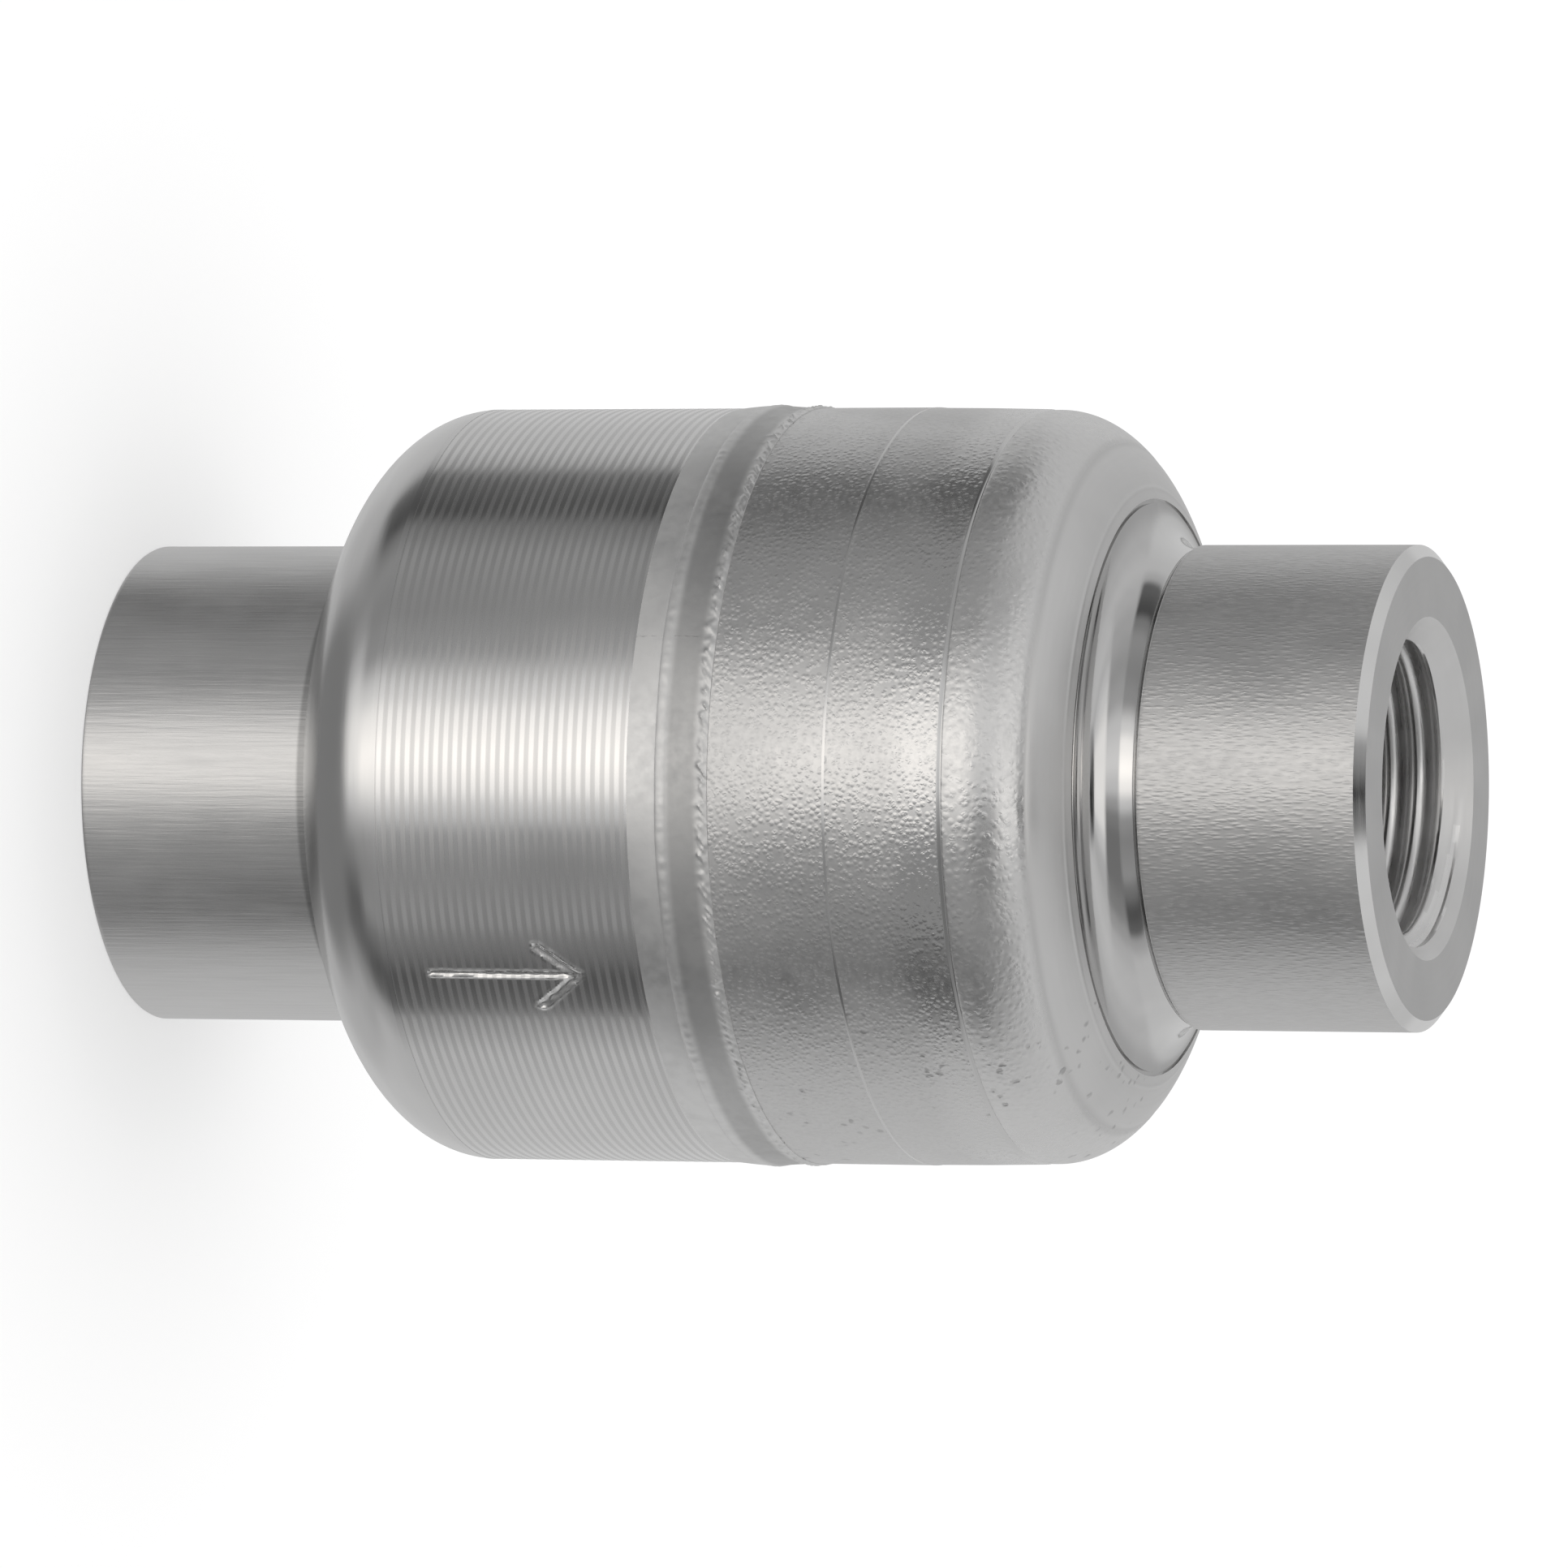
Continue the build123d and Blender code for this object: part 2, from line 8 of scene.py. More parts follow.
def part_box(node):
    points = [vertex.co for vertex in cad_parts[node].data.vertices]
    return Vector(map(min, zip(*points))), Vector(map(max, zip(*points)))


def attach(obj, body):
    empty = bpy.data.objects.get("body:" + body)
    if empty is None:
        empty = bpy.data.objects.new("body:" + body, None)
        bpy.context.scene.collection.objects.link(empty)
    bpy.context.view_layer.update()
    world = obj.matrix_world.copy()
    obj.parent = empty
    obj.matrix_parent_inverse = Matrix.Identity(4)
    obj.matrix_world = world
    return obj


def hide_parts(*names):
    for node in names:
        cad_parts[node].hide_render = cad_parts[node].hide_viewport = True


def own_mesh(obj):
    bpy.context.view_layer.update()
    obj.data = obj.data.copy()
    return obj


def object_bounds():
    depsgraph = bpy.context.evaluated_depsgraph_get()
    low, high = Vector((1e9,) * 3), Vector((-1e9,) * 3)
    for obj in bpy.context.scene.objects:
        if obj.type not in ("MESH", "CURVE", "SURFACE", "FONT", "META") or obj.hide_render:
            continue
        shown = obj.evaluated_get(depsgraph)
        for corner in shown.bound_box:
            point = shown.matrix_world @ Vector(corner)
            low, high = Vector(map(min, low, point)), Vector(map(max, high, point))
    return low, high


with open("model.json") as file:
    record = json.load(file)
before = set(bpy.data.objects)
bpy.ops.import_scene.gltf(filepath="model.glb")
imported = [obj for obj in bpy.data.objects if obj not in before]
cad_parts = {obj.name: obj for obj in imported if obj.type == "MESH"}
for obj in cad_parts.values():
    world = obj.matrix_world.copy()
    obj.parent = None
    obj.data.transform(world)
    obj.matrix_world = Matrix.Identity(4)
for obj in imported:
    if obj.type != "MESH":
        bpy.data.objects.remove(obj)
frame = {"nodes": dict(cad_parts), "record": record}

bl_info = {
    "name": "Non-return valve",
    "version": (1, 0, 0),
    "blender": (4, 5, 0),
    "location": "View3D > Sidebar > Valve",
    "description": "Dresses the packed frame of an in-line non-return valve and sets its studio",
    "category": "Object",
}

cad_low, cad_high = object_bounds()

# Lengths are in millimetres while a shape is built, and every mesh is scaled to metres at its end.
MM = 0.001
TURN = 2 * math.pi


def node_span(node):
    """Lowest and highest level and the radius of a node, in millimetres."""
    low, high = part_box(node)
    return low.z / MM, high.z / MM, high.x / MM


FACE_TO_FACE = cad_high.z / MM
BARREL_RADIUS = node_span("inlet_body")[2]
WELD_LOW, WELD_HIGH, WELD_RADIUS = node_span("weld_bead")
SPRING_LOW, SPRING_HIGH, SPRING_OUTER = node_span("closing_spring")


# Sizes that the frame's boxes don't give, in millimetres

THREAD_CREST = 9.5
ROOT_FLAT = 0.24
THREAD_FLANK = math.radians(27.5)
CREST_ROUNDING = 0.5
ROOT_ROUNDING = 0.3
# Rows of vertices on the two roundings, as shares of the rounding from its middle
CREST_ROWS = (-1, -0.35, 0.3, 1)
ROOT_ROWS = (-1, 0.2)
MOUTH_RADIUS = 11.2
MOUTH_MARGIN = 0.03
THREAD_END = 14.0
OUTLET_THREAD_START = math.radians(-140)
RELIEF_RADIUS = 10.8
RELIEF_LENGTH = 1.5
INLET_PORT = 8.2
COUNTERBORE_FLOOR = 17.5
COUNTERBORE = 12.5
SEAT_GROOVE = (22.6, 23.7, 13.35)
CHAMBER_FLOOR = 24.6
CHAMBER = 21.0
CHAMBER_CORNER = 2.0
REGISTER = 22.8
REGISTER_END = 47.1
REGISTER_GAP = 0.05
SPIGOT_CHAMFER = 0.18
UNDERCUT = 0.35
UNDERCUT_LENGTH = 0.4
INLET_DOME_CENTRE = (14.85, 24.1)
INLET_DOME_RADII = (10.15, 7.9)

# The weld: its root between the halves, its ridge and the burr at its upper edge
WELD_MIDDLE = 44.1
ROOT_HALF = 0.15
WELD_EDGE = 0.04
WELD_CROWN = 0.15
RIDGE_RISE = 0.08
RIDGE_LOW = WELD_LOW + 1.95
RIDGE_HIGH = WELD_LOW + 2.75
WELD_SIDE = 0.16
SIDE_HIGH = RIDGE_LOW - 0.2
BURR_LOW = WELD_HIGH - 0.9
BURR_MIDDLE = WELD_HIGH - 0.36
BURR_SPREAD = 0.26
BURR_LEAN = 0.055
BURR_RISE = 0.1
BURR_GRIT = 0.12
BURR_RIPPLE = 0.06
BURR_WANDER = 0.25
RIDGE_MIDDLE = RIDGE_LOW + 0.4
RIDGE_SPREAD = 0.3
RIDGE_GRIT = 0.01
RIDGE_RIPPLE = 0.03
# Bend of the valley above the ridge and of the side below it, where 1 is straight
VALLEY_BEND = 1.6
SIDE_BEND = 1.3
WELD_SKIN = 0.5
WELD_DRIFT = 0.12
# Its unevenness: bumps to one radian round the bead, and to one millimetre along the axis
DRIFT = (4.0, 0.0)
RIPPLE = (48.0, 0.8)
GRIT = (85.0, 1.2)

# The outlet half: a fine line and a slight taper on its barrel, a stepped dome with a crease, and its neck
BARREL_MIDDLE = 50.0
LINE_LEVEL = 54.6
TAPER_LEVEL = 58.5
OUTLET_BARREL_END = 62.5
STEP_GROOVE = 0.27
SHOULDER_RADIUS = BARREL_RADIUS - 0.2
OUTLET_DOME_RADII = (10.4, 7.1)
OUTLET_DOME_CENTRE = (SHOULDER_RADIUS - OUTLET_DOME_RADII[0], OUTLET_BARREL_END + 0.6)
CREASE = 37.8
CREASE_LEVEL = OUTLET_DOME_CENTRE[1] + OUTLET_DOME_RADII[1] * math.sin(math.radians(CREASE))
DOME_RIDGE = 59.5
SWELL_WIDTH = 1.2
NECK_RADIUS = 18.95
NECK_END = 72.98
NECK_UNDERCUT = 0.25
NECK_CURL = 0.5
NECK_GROOVE = (0.04, 0.26, 0.3)
NECK_GROOVE_DEPTH = 0.2
SPIGOT_MIDDLE = 80.0
RIM_CHAMFER = (0.78, 0.62)
OUTLET_PORT = 9.0
OUTLET_FLOOR = 61.5
OUTLET_CONE = (19.6, 9.0)
GUIDE_GROOVE = (55.9, 57.5, 22.2)

# The flow arrow: each stroke's start, across and along the barrel, and its share of the stroke width. All end
# at the arrow's point.
ARROW_ANGLE = math.radians(-60.4)
ARROW_FOOT = 26.9
ARROW_TOP = 36.95
ARROW_STROKES = (
    ((-0.05, ARROW_FOOT), 1.0), ((-2.05, ARROW_TOP - 2.55), 1.35), ((2.25, ARROW_TOP - 2.75), 1.5))
ARROW_REACH = 3.3
ARROW_SKIN = 0.3
# How far a stroke wanders to the side, and the share by which its depth varies
STROKE_WANDER = 0.04
STROKE_UNEVEN = 0.35
# The burr's place as a multiple of the stroke's half width, its height, how much that varies, and its width
STROKE_BURR_PLACE = 1.2
STROKE_BURR = 0.035
STROKE_BURR_WAVER = 0.02
STROKE_BURR_WIDTH = 0.08

# Mesh density, and the distances below which vertices merge and levels are the same
COLUMNS = 304
WELD_COLUMNS = 1800
CROWD_SHARE = 0.3
END_MARGIN = 0.15
MERGE = 1e-4
SAME_LEVEL = 1e-3

# The camera's frame and the studio
FRAME_PIXELS = 1932
CAMERA_SHIFT = (-4.0, 2.0)
FLOOR_RADIUS = 1500.0
FLOOR_SIDES = 96
FLOOR_GLOW = 0.45
ROOM_LIGHT = 0.28
# Light above this value turns warm by this share of what lies over it
WARM_FROM = 0.75
WARMTH = 0.05
# The light of the studio, in bands from the floor to the zenith. Each has the two elevations between which it
# takes over from the band below, and its light by direction, in degrees from the front towards +X.
STUDIO_BANDS = (
    ((-68, -54), (
        (-180, 0.6), (-120, 0.6), (-90, 0.4), (-75, 0.36), (-60, 0.42), (-46, 0.65), (-35, 0.95), (-20, 1.3),
        (-5, 1.3), (5, 0.9), (15, 0.5), (25, 0.3), (45, 0.16), (62, 0.18), (75, 0.38), (90, 0.55),
        (120, 0.62), (180, 0.6))),
    ((-47, -38), (
        (-180, 0.62), (-150, 0.7), (-125, 0.68), (-116, 0.56), (-109, 0.16), (-92, 0.1), (-84, 0.28),
        (-74, 0.38), (-56, 0.34), (-42, 0.4), (-28, 0.95), (-20, 1.4), (-8, 1.7), (0, 1.42), (8, 0.82),
        (16, 0.4), (26, 0.33), (42, 0.39), (50, 0.24), (62, 0.11), (71, 0.16), (79, 0.5), (92, 0.68),
        (125, 0.74), (150, 0.72), (180, 0.62))),
    ((10, 17), (
        (-180, 0.44), (-150, 0.6), (-125, 0.68), (-107, 0.62), (-87, 0.54), (-60, 0.44), (-45, 0.5),
        (-30, 0.8), (-12, 0.95), (0, 0.78), (8, 0.46), (15, 0.29), (24, 0.23), (45, 0.23), (62, 0.3),
        (75, 0.46), (87, 0.6), (107, 0.68), (125, 0.7), (150, 0.62), (180, 0.46))),
    ((44, 52), (
        (-180, 0.6), (-150, 0.62), (-125, 0.7), (-107, 0.72), (-84, 0.66), (-70, 0.75), (-58, 0.85),
        (-30, 1.15), (0, 1.2), (20, 1.1), (35, 0.8), (50, 0.62), (62, 0.6), (75, 0.66), (84, 0.7),
        (107, 0.74), (125, 0.7), (150, 0.62), (180, 0.6))),
    ((75, 80), (
        (-180, 0.55), (-120, 0.55), (-90, 0.35), (-40, 0.14), (0, 0.08), (18, 0.02), (62, 0.02), (80, 0.25),
        (120, 0.55), (180, 0.55))),
)


# Properties


class ValveShellSettings(bpy.types.PropertyGroup):
    """Sizes of the shell's surface detail"""

    spigot_radius: bpy.props.FloatProperty(
        name="Spigot radius", description="Outer radius of both threaded ends",
        default=15.9 * MM, unit="LENGTH")
    ring_pitch: bpy.props.FloatProperty(
        name="Ring pitch", description="Distance between the turned rings of the inlet barrel",
        default=0.654 * MM, unit="LENGTH")
    ring_depth: bpy.props.FloatProperty(
        name="Ring depth", description="Depth of the hollow between two turned rings",
        default=0.008 * MM, unit="LENGTH")
    ring_count: bpy.props.IntProperty(
        name="Rings", description="Number of turned rings", default=27, min=1)
    thread_pitch: bpy.props.FloatProperty(
        name="Thread pitch", description="Pitch of the pipe thread", default=1.814 * MM, unit="LENGTH")
    thread_depth: bpy.props.FloatProperty(
        name="Thread depth", description="Depth of the pipe thread below its crests",
        default=0.98 * MM, unit="LENGTH")
    stroke_width: bpy.props.FloatProperty(
        name="Stroke width", description="Width of the engraved strokes", default=0.4 * MM, unit="LENGTH")
    stroke_depth: bpy.props.FloatProperty(
        name="Stroke depth", description="Depth of the engraved strokes", default=0.13 * MM, unit="LENGTH")


class ValveFinishSettings(bpy.types.PropertyGroup):
    """Colours of the finishes"""

    steel: bpy.props.FloatVectorProperty(
        name="Steel", description="Colour of the bare stainless steel", subtype="COLOR",
        size=3, min=0.0, max=1.0, default=(0.60, 0.597, 0.594))
    weld: bpy.props.FloatVectorProperty(
        name="Weld", description="Colour of the weld metal", subtype="COLOR",
        size=3, min=0.0, max=1.0, default=(0.7, 0.698, 0.694))
    rubber: bpy.props.FloatVectorProperty(
        name="Rubber", description="Colour of the seals", subtype="COLOR",
        size=3, min=0.0, max=1.0, default=(0.025, 0.025, 0.027))
    plastic: bpy.props.FloatVectorProperty(
        name="Bush plastic", description="Colour of the guide bushes", subtype="COLOR",
        size=3, min=0.0, max=1.0, default=(0.80, 0.79, 0.75))


class ValveStageSettings(bpy.types.PropertyGroup):
    """Camera and floor"""

    camera_distance: bpy.props.FloatProperty(
        name="Camera distance", description="From the camera to the middle of the valve",
        default=0.823, unit="LENGTH")
    camera_roll: bpy.props.FloatProperty(
        name="Camera roll", description="Small turn of the camera about its own axis",
        default=math.radians(0.28), subtype="ANGLE", unit="ROTATION")
    camera_rise: bpy.props.FloatProperty(
        name="Camera rise", description="Angle of the view above the horizontal",
        default=math.radians(18.36), subtype="ANGLE", unit="ROTATION")
    focal_pixels: bpy.props.FloatProperty(
        name="Focal length", description="Focal length on the 1932 pixel frame",
        default=15305.0, subtype="PIXEL")
    floor_colour: bpy.props.FloatVectorProperty(
        name="Floor", description="Colour of the floor", subtype="COLOR",
        size=3, min=0.0, max=1.0, default=(0.55, 0.55, 0.55))


# Mesh helpers


def link_mesh(name, bm, materials):
    """Scale a finished bmesh to metres and make it an object with these materials."""
    bmesh.ops.scale(bm, vec=(MM, MM, MM), verts=bm.verts)
    mesh = bpy.data.meshes.new(name)
    bm.to_mesh(mesh)
    bm.free()
    for material in materials:
        mesh.materials.append(material)
    piece = bpy.data.objects.new(name, mesh)
    bpy.context.scene.collection.objects.link(piece)
    return piece


def soften(bm, crease=math.radians(28)):
    """Smooth faces, with the edges sharper than the crease angle kept crisp."""
    for face in bm.faces:
        face.smooth = True
    for edge in bm.edges:
        edge.smooth = not (edge.is_manifold and edge.calc_face_angle(0.0) > crease)


def close_up(bm):
    """Merge the seams, turn the faces outwards and smooth them."""
    bmesh.ops.remove_doubles(bm, verts=bm.verts, dist=MERGE)
    bmesh.ops.recalc_face_normals(bm, faces=bm.faces)
    soften(bm)


def evenly(first, last, steps):
    """Evenly spaced values from the first to the last."""
    return [first + (last - first) * i / steps for i in range(steps + 1)]


def over_barrel(*points):
    """Points (radius, level) given by their height over the barrel."""
    return [(BARREL_RADIUS + rise, level) for rise, level in points]


def arc(centre, radii, start, end, steps):
    """Points (radius, level) along an elliptical arc in the axial plane, angles in degrees."""
    return [(centre[0] + radii[0] * math.cos(angle), centre[1] + radii[1] * math.sin(angle))
            for angle in map(math.radians, evenly(start, end, steps))]


def swell(middle, spacing, rise, reach):
    """Points of a low ridge round the outlet dome, or of a valley where the rise is negative.

    Its rows are this many degrees apart, and as many lie on each side of the middle as the reach says.
    """
    across, along = OUTLET_DOME_RADII
    points = []
    for step in range(-reach, reach + 1):
        angle = math.radians(middle + step * spacing)
        height = rise * math.exp(-(step / SWELL_WIDTH) ** 2)
        normal = Vector((math.cos(angle) / across, math.sin(angle) / along)).normalized()
        points.append((OUTLET_DOME_CENTRE[0] + across * math.cos(angle) + normal.x * height,
                       OUTLET_DOME_CENTRE[1] + along * math.sin(angle) + normal.y * height))
    return points


def turn_round(bm, geom, columns, rise=0.0):
    """Spin a profile once round the flow axis: a sixteenth in steps, then doubled four times.

    A helix rises by this much in the turn. Its two ends, or those of a full ring, meet after the merge.
    """
    share = 1 / 16
    bmesh.ops.spin(
        bm, geom=geom, cent=(0, 0, 0), axis=(0, 0, 1), dvec=(0, 0, rise / columns), angle=TURN * share,
        steps=round(columns * share), use_merge=False, use_duplicate=False)
    while share < 1:
        copied = bmesh.ops.duplicate(bm, geom=bm.verts[:] + bm.edges[:] + bm.faces[:])
        verts = [item for item in copied["geom"] if isinstance(item, bmesh.types.BMVert)]
        bmesh.ops.rotate(bm, cent=(0, 0, 0), matrix=Matrix.Rotation(TURN * share, 3, "Z"), verts=verts)
        bmesh.ops.translate(bm, vec=(0, 0, rise * share), verts=verts)
        share *= 2


def even_columns(t):
    """Columns stay where the spin puts them."""
    return t


def crowded_columns(t):
    """Crowd a share of the columns into the arrow's sector, in the middle of the turn."""
    size = abs(2 * t - 1)
    sector = math.degrees(ARROW_REACH / BARREL_RADIUS) / 180
    if size <= CROWD_SHARE:
        size *= sector / CROWD_SHARE
    else:
        size = sector + (size - CROWD_SHARE) / (1 - CROWD_SHARE) * (1 - sector)
    return (1 + math.copysign(size, 2 * t - 1)) / 2


def put(vert, radius, turned, level, start):
    """Put a vertex at a share of a turn from the starting angle."""
    angle = start + TURN * turned
    vert.co = (radius * math.cos(angle), radius * math.sin(angle), level)


def held(points):
    """Add a point near both ends of each long stretch, so that the shading stays even between them."""
    kept = [points[0]]
    for before, after in zip(points, points[1:]):
        index, run = after[0], math.dist(before[1:], after[1:])
        if run > 4 * END_MARGIN:
            for share in (END_MARGIN / run, 1 - END_MARGIN / run):
                kept.append((index, *(a + (b - a) * share for a, b in zip(before[1:], after[1:]))))
        kept.append(after)
    return kept


def lathe(bm, sections, columns, spread=even_columns, start=0.0):
    """Turn a profile of sections, each (material index, points), and add it to the bmesh."""
    finish = []
    profile = bmesh.new()
    row = profile.verts.layers.int.new("row")
    verts = []
    for index, radius, level in held([(index, *point) for index, points in sections for point in points]):
        vert = profile.verts.new((radius, 0, level))
        vert[row] = len(verts)
        verts.append(vert)
        finish.append(index)
    edges = [profile.edges.new(pair) for pair in zip(verts, verts[1:])]
    turn_round(profile, verts + edges, columns)
    for face in profile.faces:
        face.material_index = finish[max(vert[row] for vert in face.verts)]
    for vert in profile.verts:
        turned = round(math.atan2(vert.co.y, vert.co.x) / TURN * columns) / columns % 1.0
        put(vert, math.hypot(vert.co.x, vert.co.y), spread(turned), vert.co.z, start)
    mesh = bpy.data.meshes.new("profile")
    profile.to_mesh(mesh)
    profile.free()
    bm.from_mesh(mesh)
    bpy.data.meshes.remove(mesh)


def rounded_above(value, limit, width):
    """The larger of a value and a limit, with a rounded corner of this width."""
    return max(value, limit) + max(width - abs(value - limit), 0.0) ** 2 / (4 * width)


def thread_form(phase, pitch, depth):
    """Depth of the pipe thread at a phase from 0 to 1 along one pitch, from the middle of a crest."""
    corner = ROOT_FLAT / 2 + depth * math.tan(THREAD_FLANK)
    raw = (corner - abs(phase - 0.5) * pitch) / math.tan(THREAD_FLANK)
    crest = rounded_above(raw, 0.0, CREST_ROUNDING)
    return -rounded_above(-crest, -depth, ROOT_ROUNDING)


def thread_rows(pitch, depth):
    """Levels of the rows of vertices along one pitch, from the middle of a crest."""
    root = pitch / 2 - ROOT_FLAT / 2
    crest = root - depth * math.tan(THREAD_FLANK)
    round_crest, round_root = (width * math.tan(THREAD_FLANK) for width in (CREST_ROUNDING, ROOT_ROUNDING))
    half = [crest + round_crest * share for share in CREST_ROWS]
    half += [root + round_root * share for share in ROOT_ROWS]
    return [0.0, *half, *(pitch - level for level in reversed(half))]


def helical_bore(low, high, pitch, depth, mouth_low, finishes, columns, spread=even_columns, start=0.0):
    """A threaded bore from low to high, with a countersunk mouth at one end and a relief at the other.

    Its finishes are the material indices of the thread and of the mouth.
    """
    def cone(level):
        return MOUTH_RADIUS - (level - low if mouth_low else high - level)

    bm = bmesh.new()
    base = bm.verts.layers.float.new("base")
    verts = []
    for turn in range(math.floor(low / pitch) - 1, math.ceil(high / pitch)):
        for level in thread_rows(pitch, depth):
            vert = bm.verts.new((THREAD_CREST, 0, turn * pitch + level))
            vert[base] = vert.co.z
            verts.append(vert)
    edges = [bm.edges.new(pair) for pair in zip(verts, verts[1:])]
    turn_round(bm, verts + edges, columns, rise=pitch)
    for vert in bm.verts:
        turned = spread(round((vert.co.z - vert[base]) / pitch * columns) / columns)
        level = min(max(vert[base] + turned * pitch, low), high)
        radius = THREAD_CREST + thread_form((level / pitch - turned) % 1.0, pitch, depth)
        put(vert, max(radius, cone(level)), turned, level, start)
    for face in bm.faces:
        middle = face.calc_center_median()
        face.material_index = finishes[math.hypot(middle.x, middle.y) < cone(middle.z) + MOUTH_MARGIN]
    bmesh.ops.remove_doubles(bm, verts=bm.verts, dist=MERGE)
    rim = high if mouth_low else low
    ring = [e for e in bm.edges if e.is_boundary and all(abs(v.co.z - rim) < SAME_LEVEL for v in e.verts)]
    step = bmesh.ops.extrude_edge_only(bm, edges=ring)
    for vert in [item for item in step["geom"] if isinstance(item, bmesh.types.BMVert)]:
        direction = Vector((vert.co.x, vert.co.y)).normalized()
        vert.co = (direction.x * RELIEF_RADIUS, direction.y * RELIEF_RADIUS, rim)
    bm.verts.layers.float.remove(base)
    return bm


def stroke_distance(point, start, end):
    """Distance from a point on the unrolled barrel to a stroke, in millimetres."""
    share = (point - start).dot(end - start) / (end - start).length_squared
    return (point - start.lerp(end, min(max(share, 0.0), 1.0))).length


def engrave_arrow(bm, width, depth):
    """Press the flow arrow into the barrel, with the burr that the point throws up along each stroke."""
    tip = Vector((0.0, ARROW_TOP))
    strokes = [(Vector(start), width * share) for start, share in ARROW_STROKES]
    waves_per_mm, layer = 1.6, 3.0
    for vert in bm.verts:
        radius = math.hypot(vert.co.x, vert.co.y)
        if radius < BARREL_RADIUS - ARROW_SKIN or not ARROW_FOOT - 1 < vert.co.z < ARROW_TOP + 1:
            continue
        across = math.remainder(math.atan2(vert.co.y, vert.co.x) - ARROW_ANGLE, TURN) * BARREL_RADIUS
        if abs(across) > ARROW_REACH:
            continue
        waver = noise.noise(Vector((across * waves_per_mm, vert.co.z * waves_per_mm, layer)))
        point = Vector((across + STROKE_WANDER * waver, vert.co.z))
        away, half = min(
            (2 * stroke_distance(point, start, tip) / broad, broad / 2) for start, broad in strokes)
        cut = depth * (1 + STROKE_UNEVEN * waver) * max(0.0, 1 - away ** 2)
        beside = (away - STROKE_BURR_PLACE) * half / STROKE_BURR_WIDTH
        burr = (STROKE_BURR + STROKE_BURR_WAVER * waver) * math.exp(-beside ** 2)
        grown = (radius - cut + burr) / radius
        vert.co.x *= grown
        vert.co.y *= grown


# Node groups and materials

# The middle part of the grain's height, which the roughness follows
GRAIN_SPAN = (0.3, 0.7)
# How far the outlines of the pits bend
PIT_BEND = 0.6 * MM


def new_group(name, inputs, outputs):
    """An empty shader node group. A socket is a vector where its value has three parts, else a number."""
    group = bpy.data.node_groups.new(name, "ShaderNodeTree")
    for side, sockets in (("INPUT", inputs), ("OUTPUT", outputs)):
        for label, value in sockets.items():
            kind = "NodeSocketVector" if isinstance(value, tuple) else "NodeSocketFloat"
            group.interface.new_socket(name=label, in_out=side, socket_type=kind).default_value = value
    return group, group.nodes.new("NodeGroupInput").outputs, group.nodes.new("NodeGroupOutput")


def hand_out(group, leave, **values):
    """Link these values to the group's outputs."""
    for label, source in values.items():
        group.links.new(source, leave.inputs[label])


def add(tree, kind, settings=None, values=None, links=None):
    """A node with its settings, its unlinked socket values and its links."""
    node = tree.nodes.new(kind)
    for key, value in (settings or {}).items():
        setattr(node, key, value)
    for key, value in (values or {}).items():
        node.inputs[key].default_value = value
    for key, source in (links or {}).items():
        tree.links.new(source, node.inputs[key])
    return node


def maths(tree, operation, *terms, clamp=False):
    """One step of arithmetic. Each term is a socket or a number."""
    node = add(tree, "ShaderNodeMath", {"operation": operation, "use_clamp": clamp})
    for index, term in enumerate(terms):
        if isinstance(term, bpy.types.NodeSocket):
            tree.links.new(term, node.inputs[index])
        else:
            node.inputs[index].default_value = term
    return node.outputs[0]


def ranged(tree, source, given, wanted=(0.0, 1.0), smooth=False):
    """A value carried from one range to another and held at its ends, which are soft if it is smooth."""
    return add(tree, "ShaderNodeMapRange", {"interpolation_type": "SMOOTHSTEP" if smooth else "LINEAR"}, {
        "From Min": given[0], "From Max": given[1], "To Min": wanted[0], "To Max": wanted[1]},
        {"Value": source}).outputs[0]


def axes(tree, source):
    """The three parts of a vector."""
    return add(tree, "ShaderNodeSeparateXYZ", links={0: source}).outputs


def grain_group():
    """Grain: noise stretched along or round the axis, as a height, raised bumps and wide soft patches."""
    group, given, leave = new_group(
        "Grain",
        {"Vector": (0, 0, 0), "Stretch": (1, 1, 1), "Scale": 1000.0, "Detail": 4.0, "Distortion": 0.0},
        {"Height": 0.0, "Marks": 0.0, "Patches": 0.0})
    scaled = add(group, "ShaderNodeVectorMath", {"operation": "MULTIPLY"},
                 links={0: given["Vector"], 1: given["Stretch"]}).outputs[0]
    fine = add(group, "ShaderNodeTexNoise", values={"Roughness": 0.6}, links={
        "Vector": scaled, "Scale": given["Scale"], "Detail": given["Detail"],
        "Distortion": given["Distortion"]}).outputs["Fac"]
    patches = add(group, "ShaderNodeTexNoise", values={"Scale": 90.0, "Detail": 3.0, "Roughness": 0.6},
                  links={"Vector": given["Vector"]}).outputs["Fac"]
    cells = add(group, "ShaderNodeTexVoronoi", {"feature": "F1"}, {"Randomness": 1.0}, {
        "Vector": scaled, "Scale": given["Scale"]}).outputs["Distance"]
    strewn = ranged(group, fine, (0.3, 0.54), (0.12, 1.0), smooth=True)
    bumps = ranged(group, cells, (0.08, 0.72), (1.0, 0.0), smooth=True)
    hand_out(group, leave, Height=fine, Marks=maths(group, "MULTIPLY", strewn, bumps), Patches=patches)
    return group


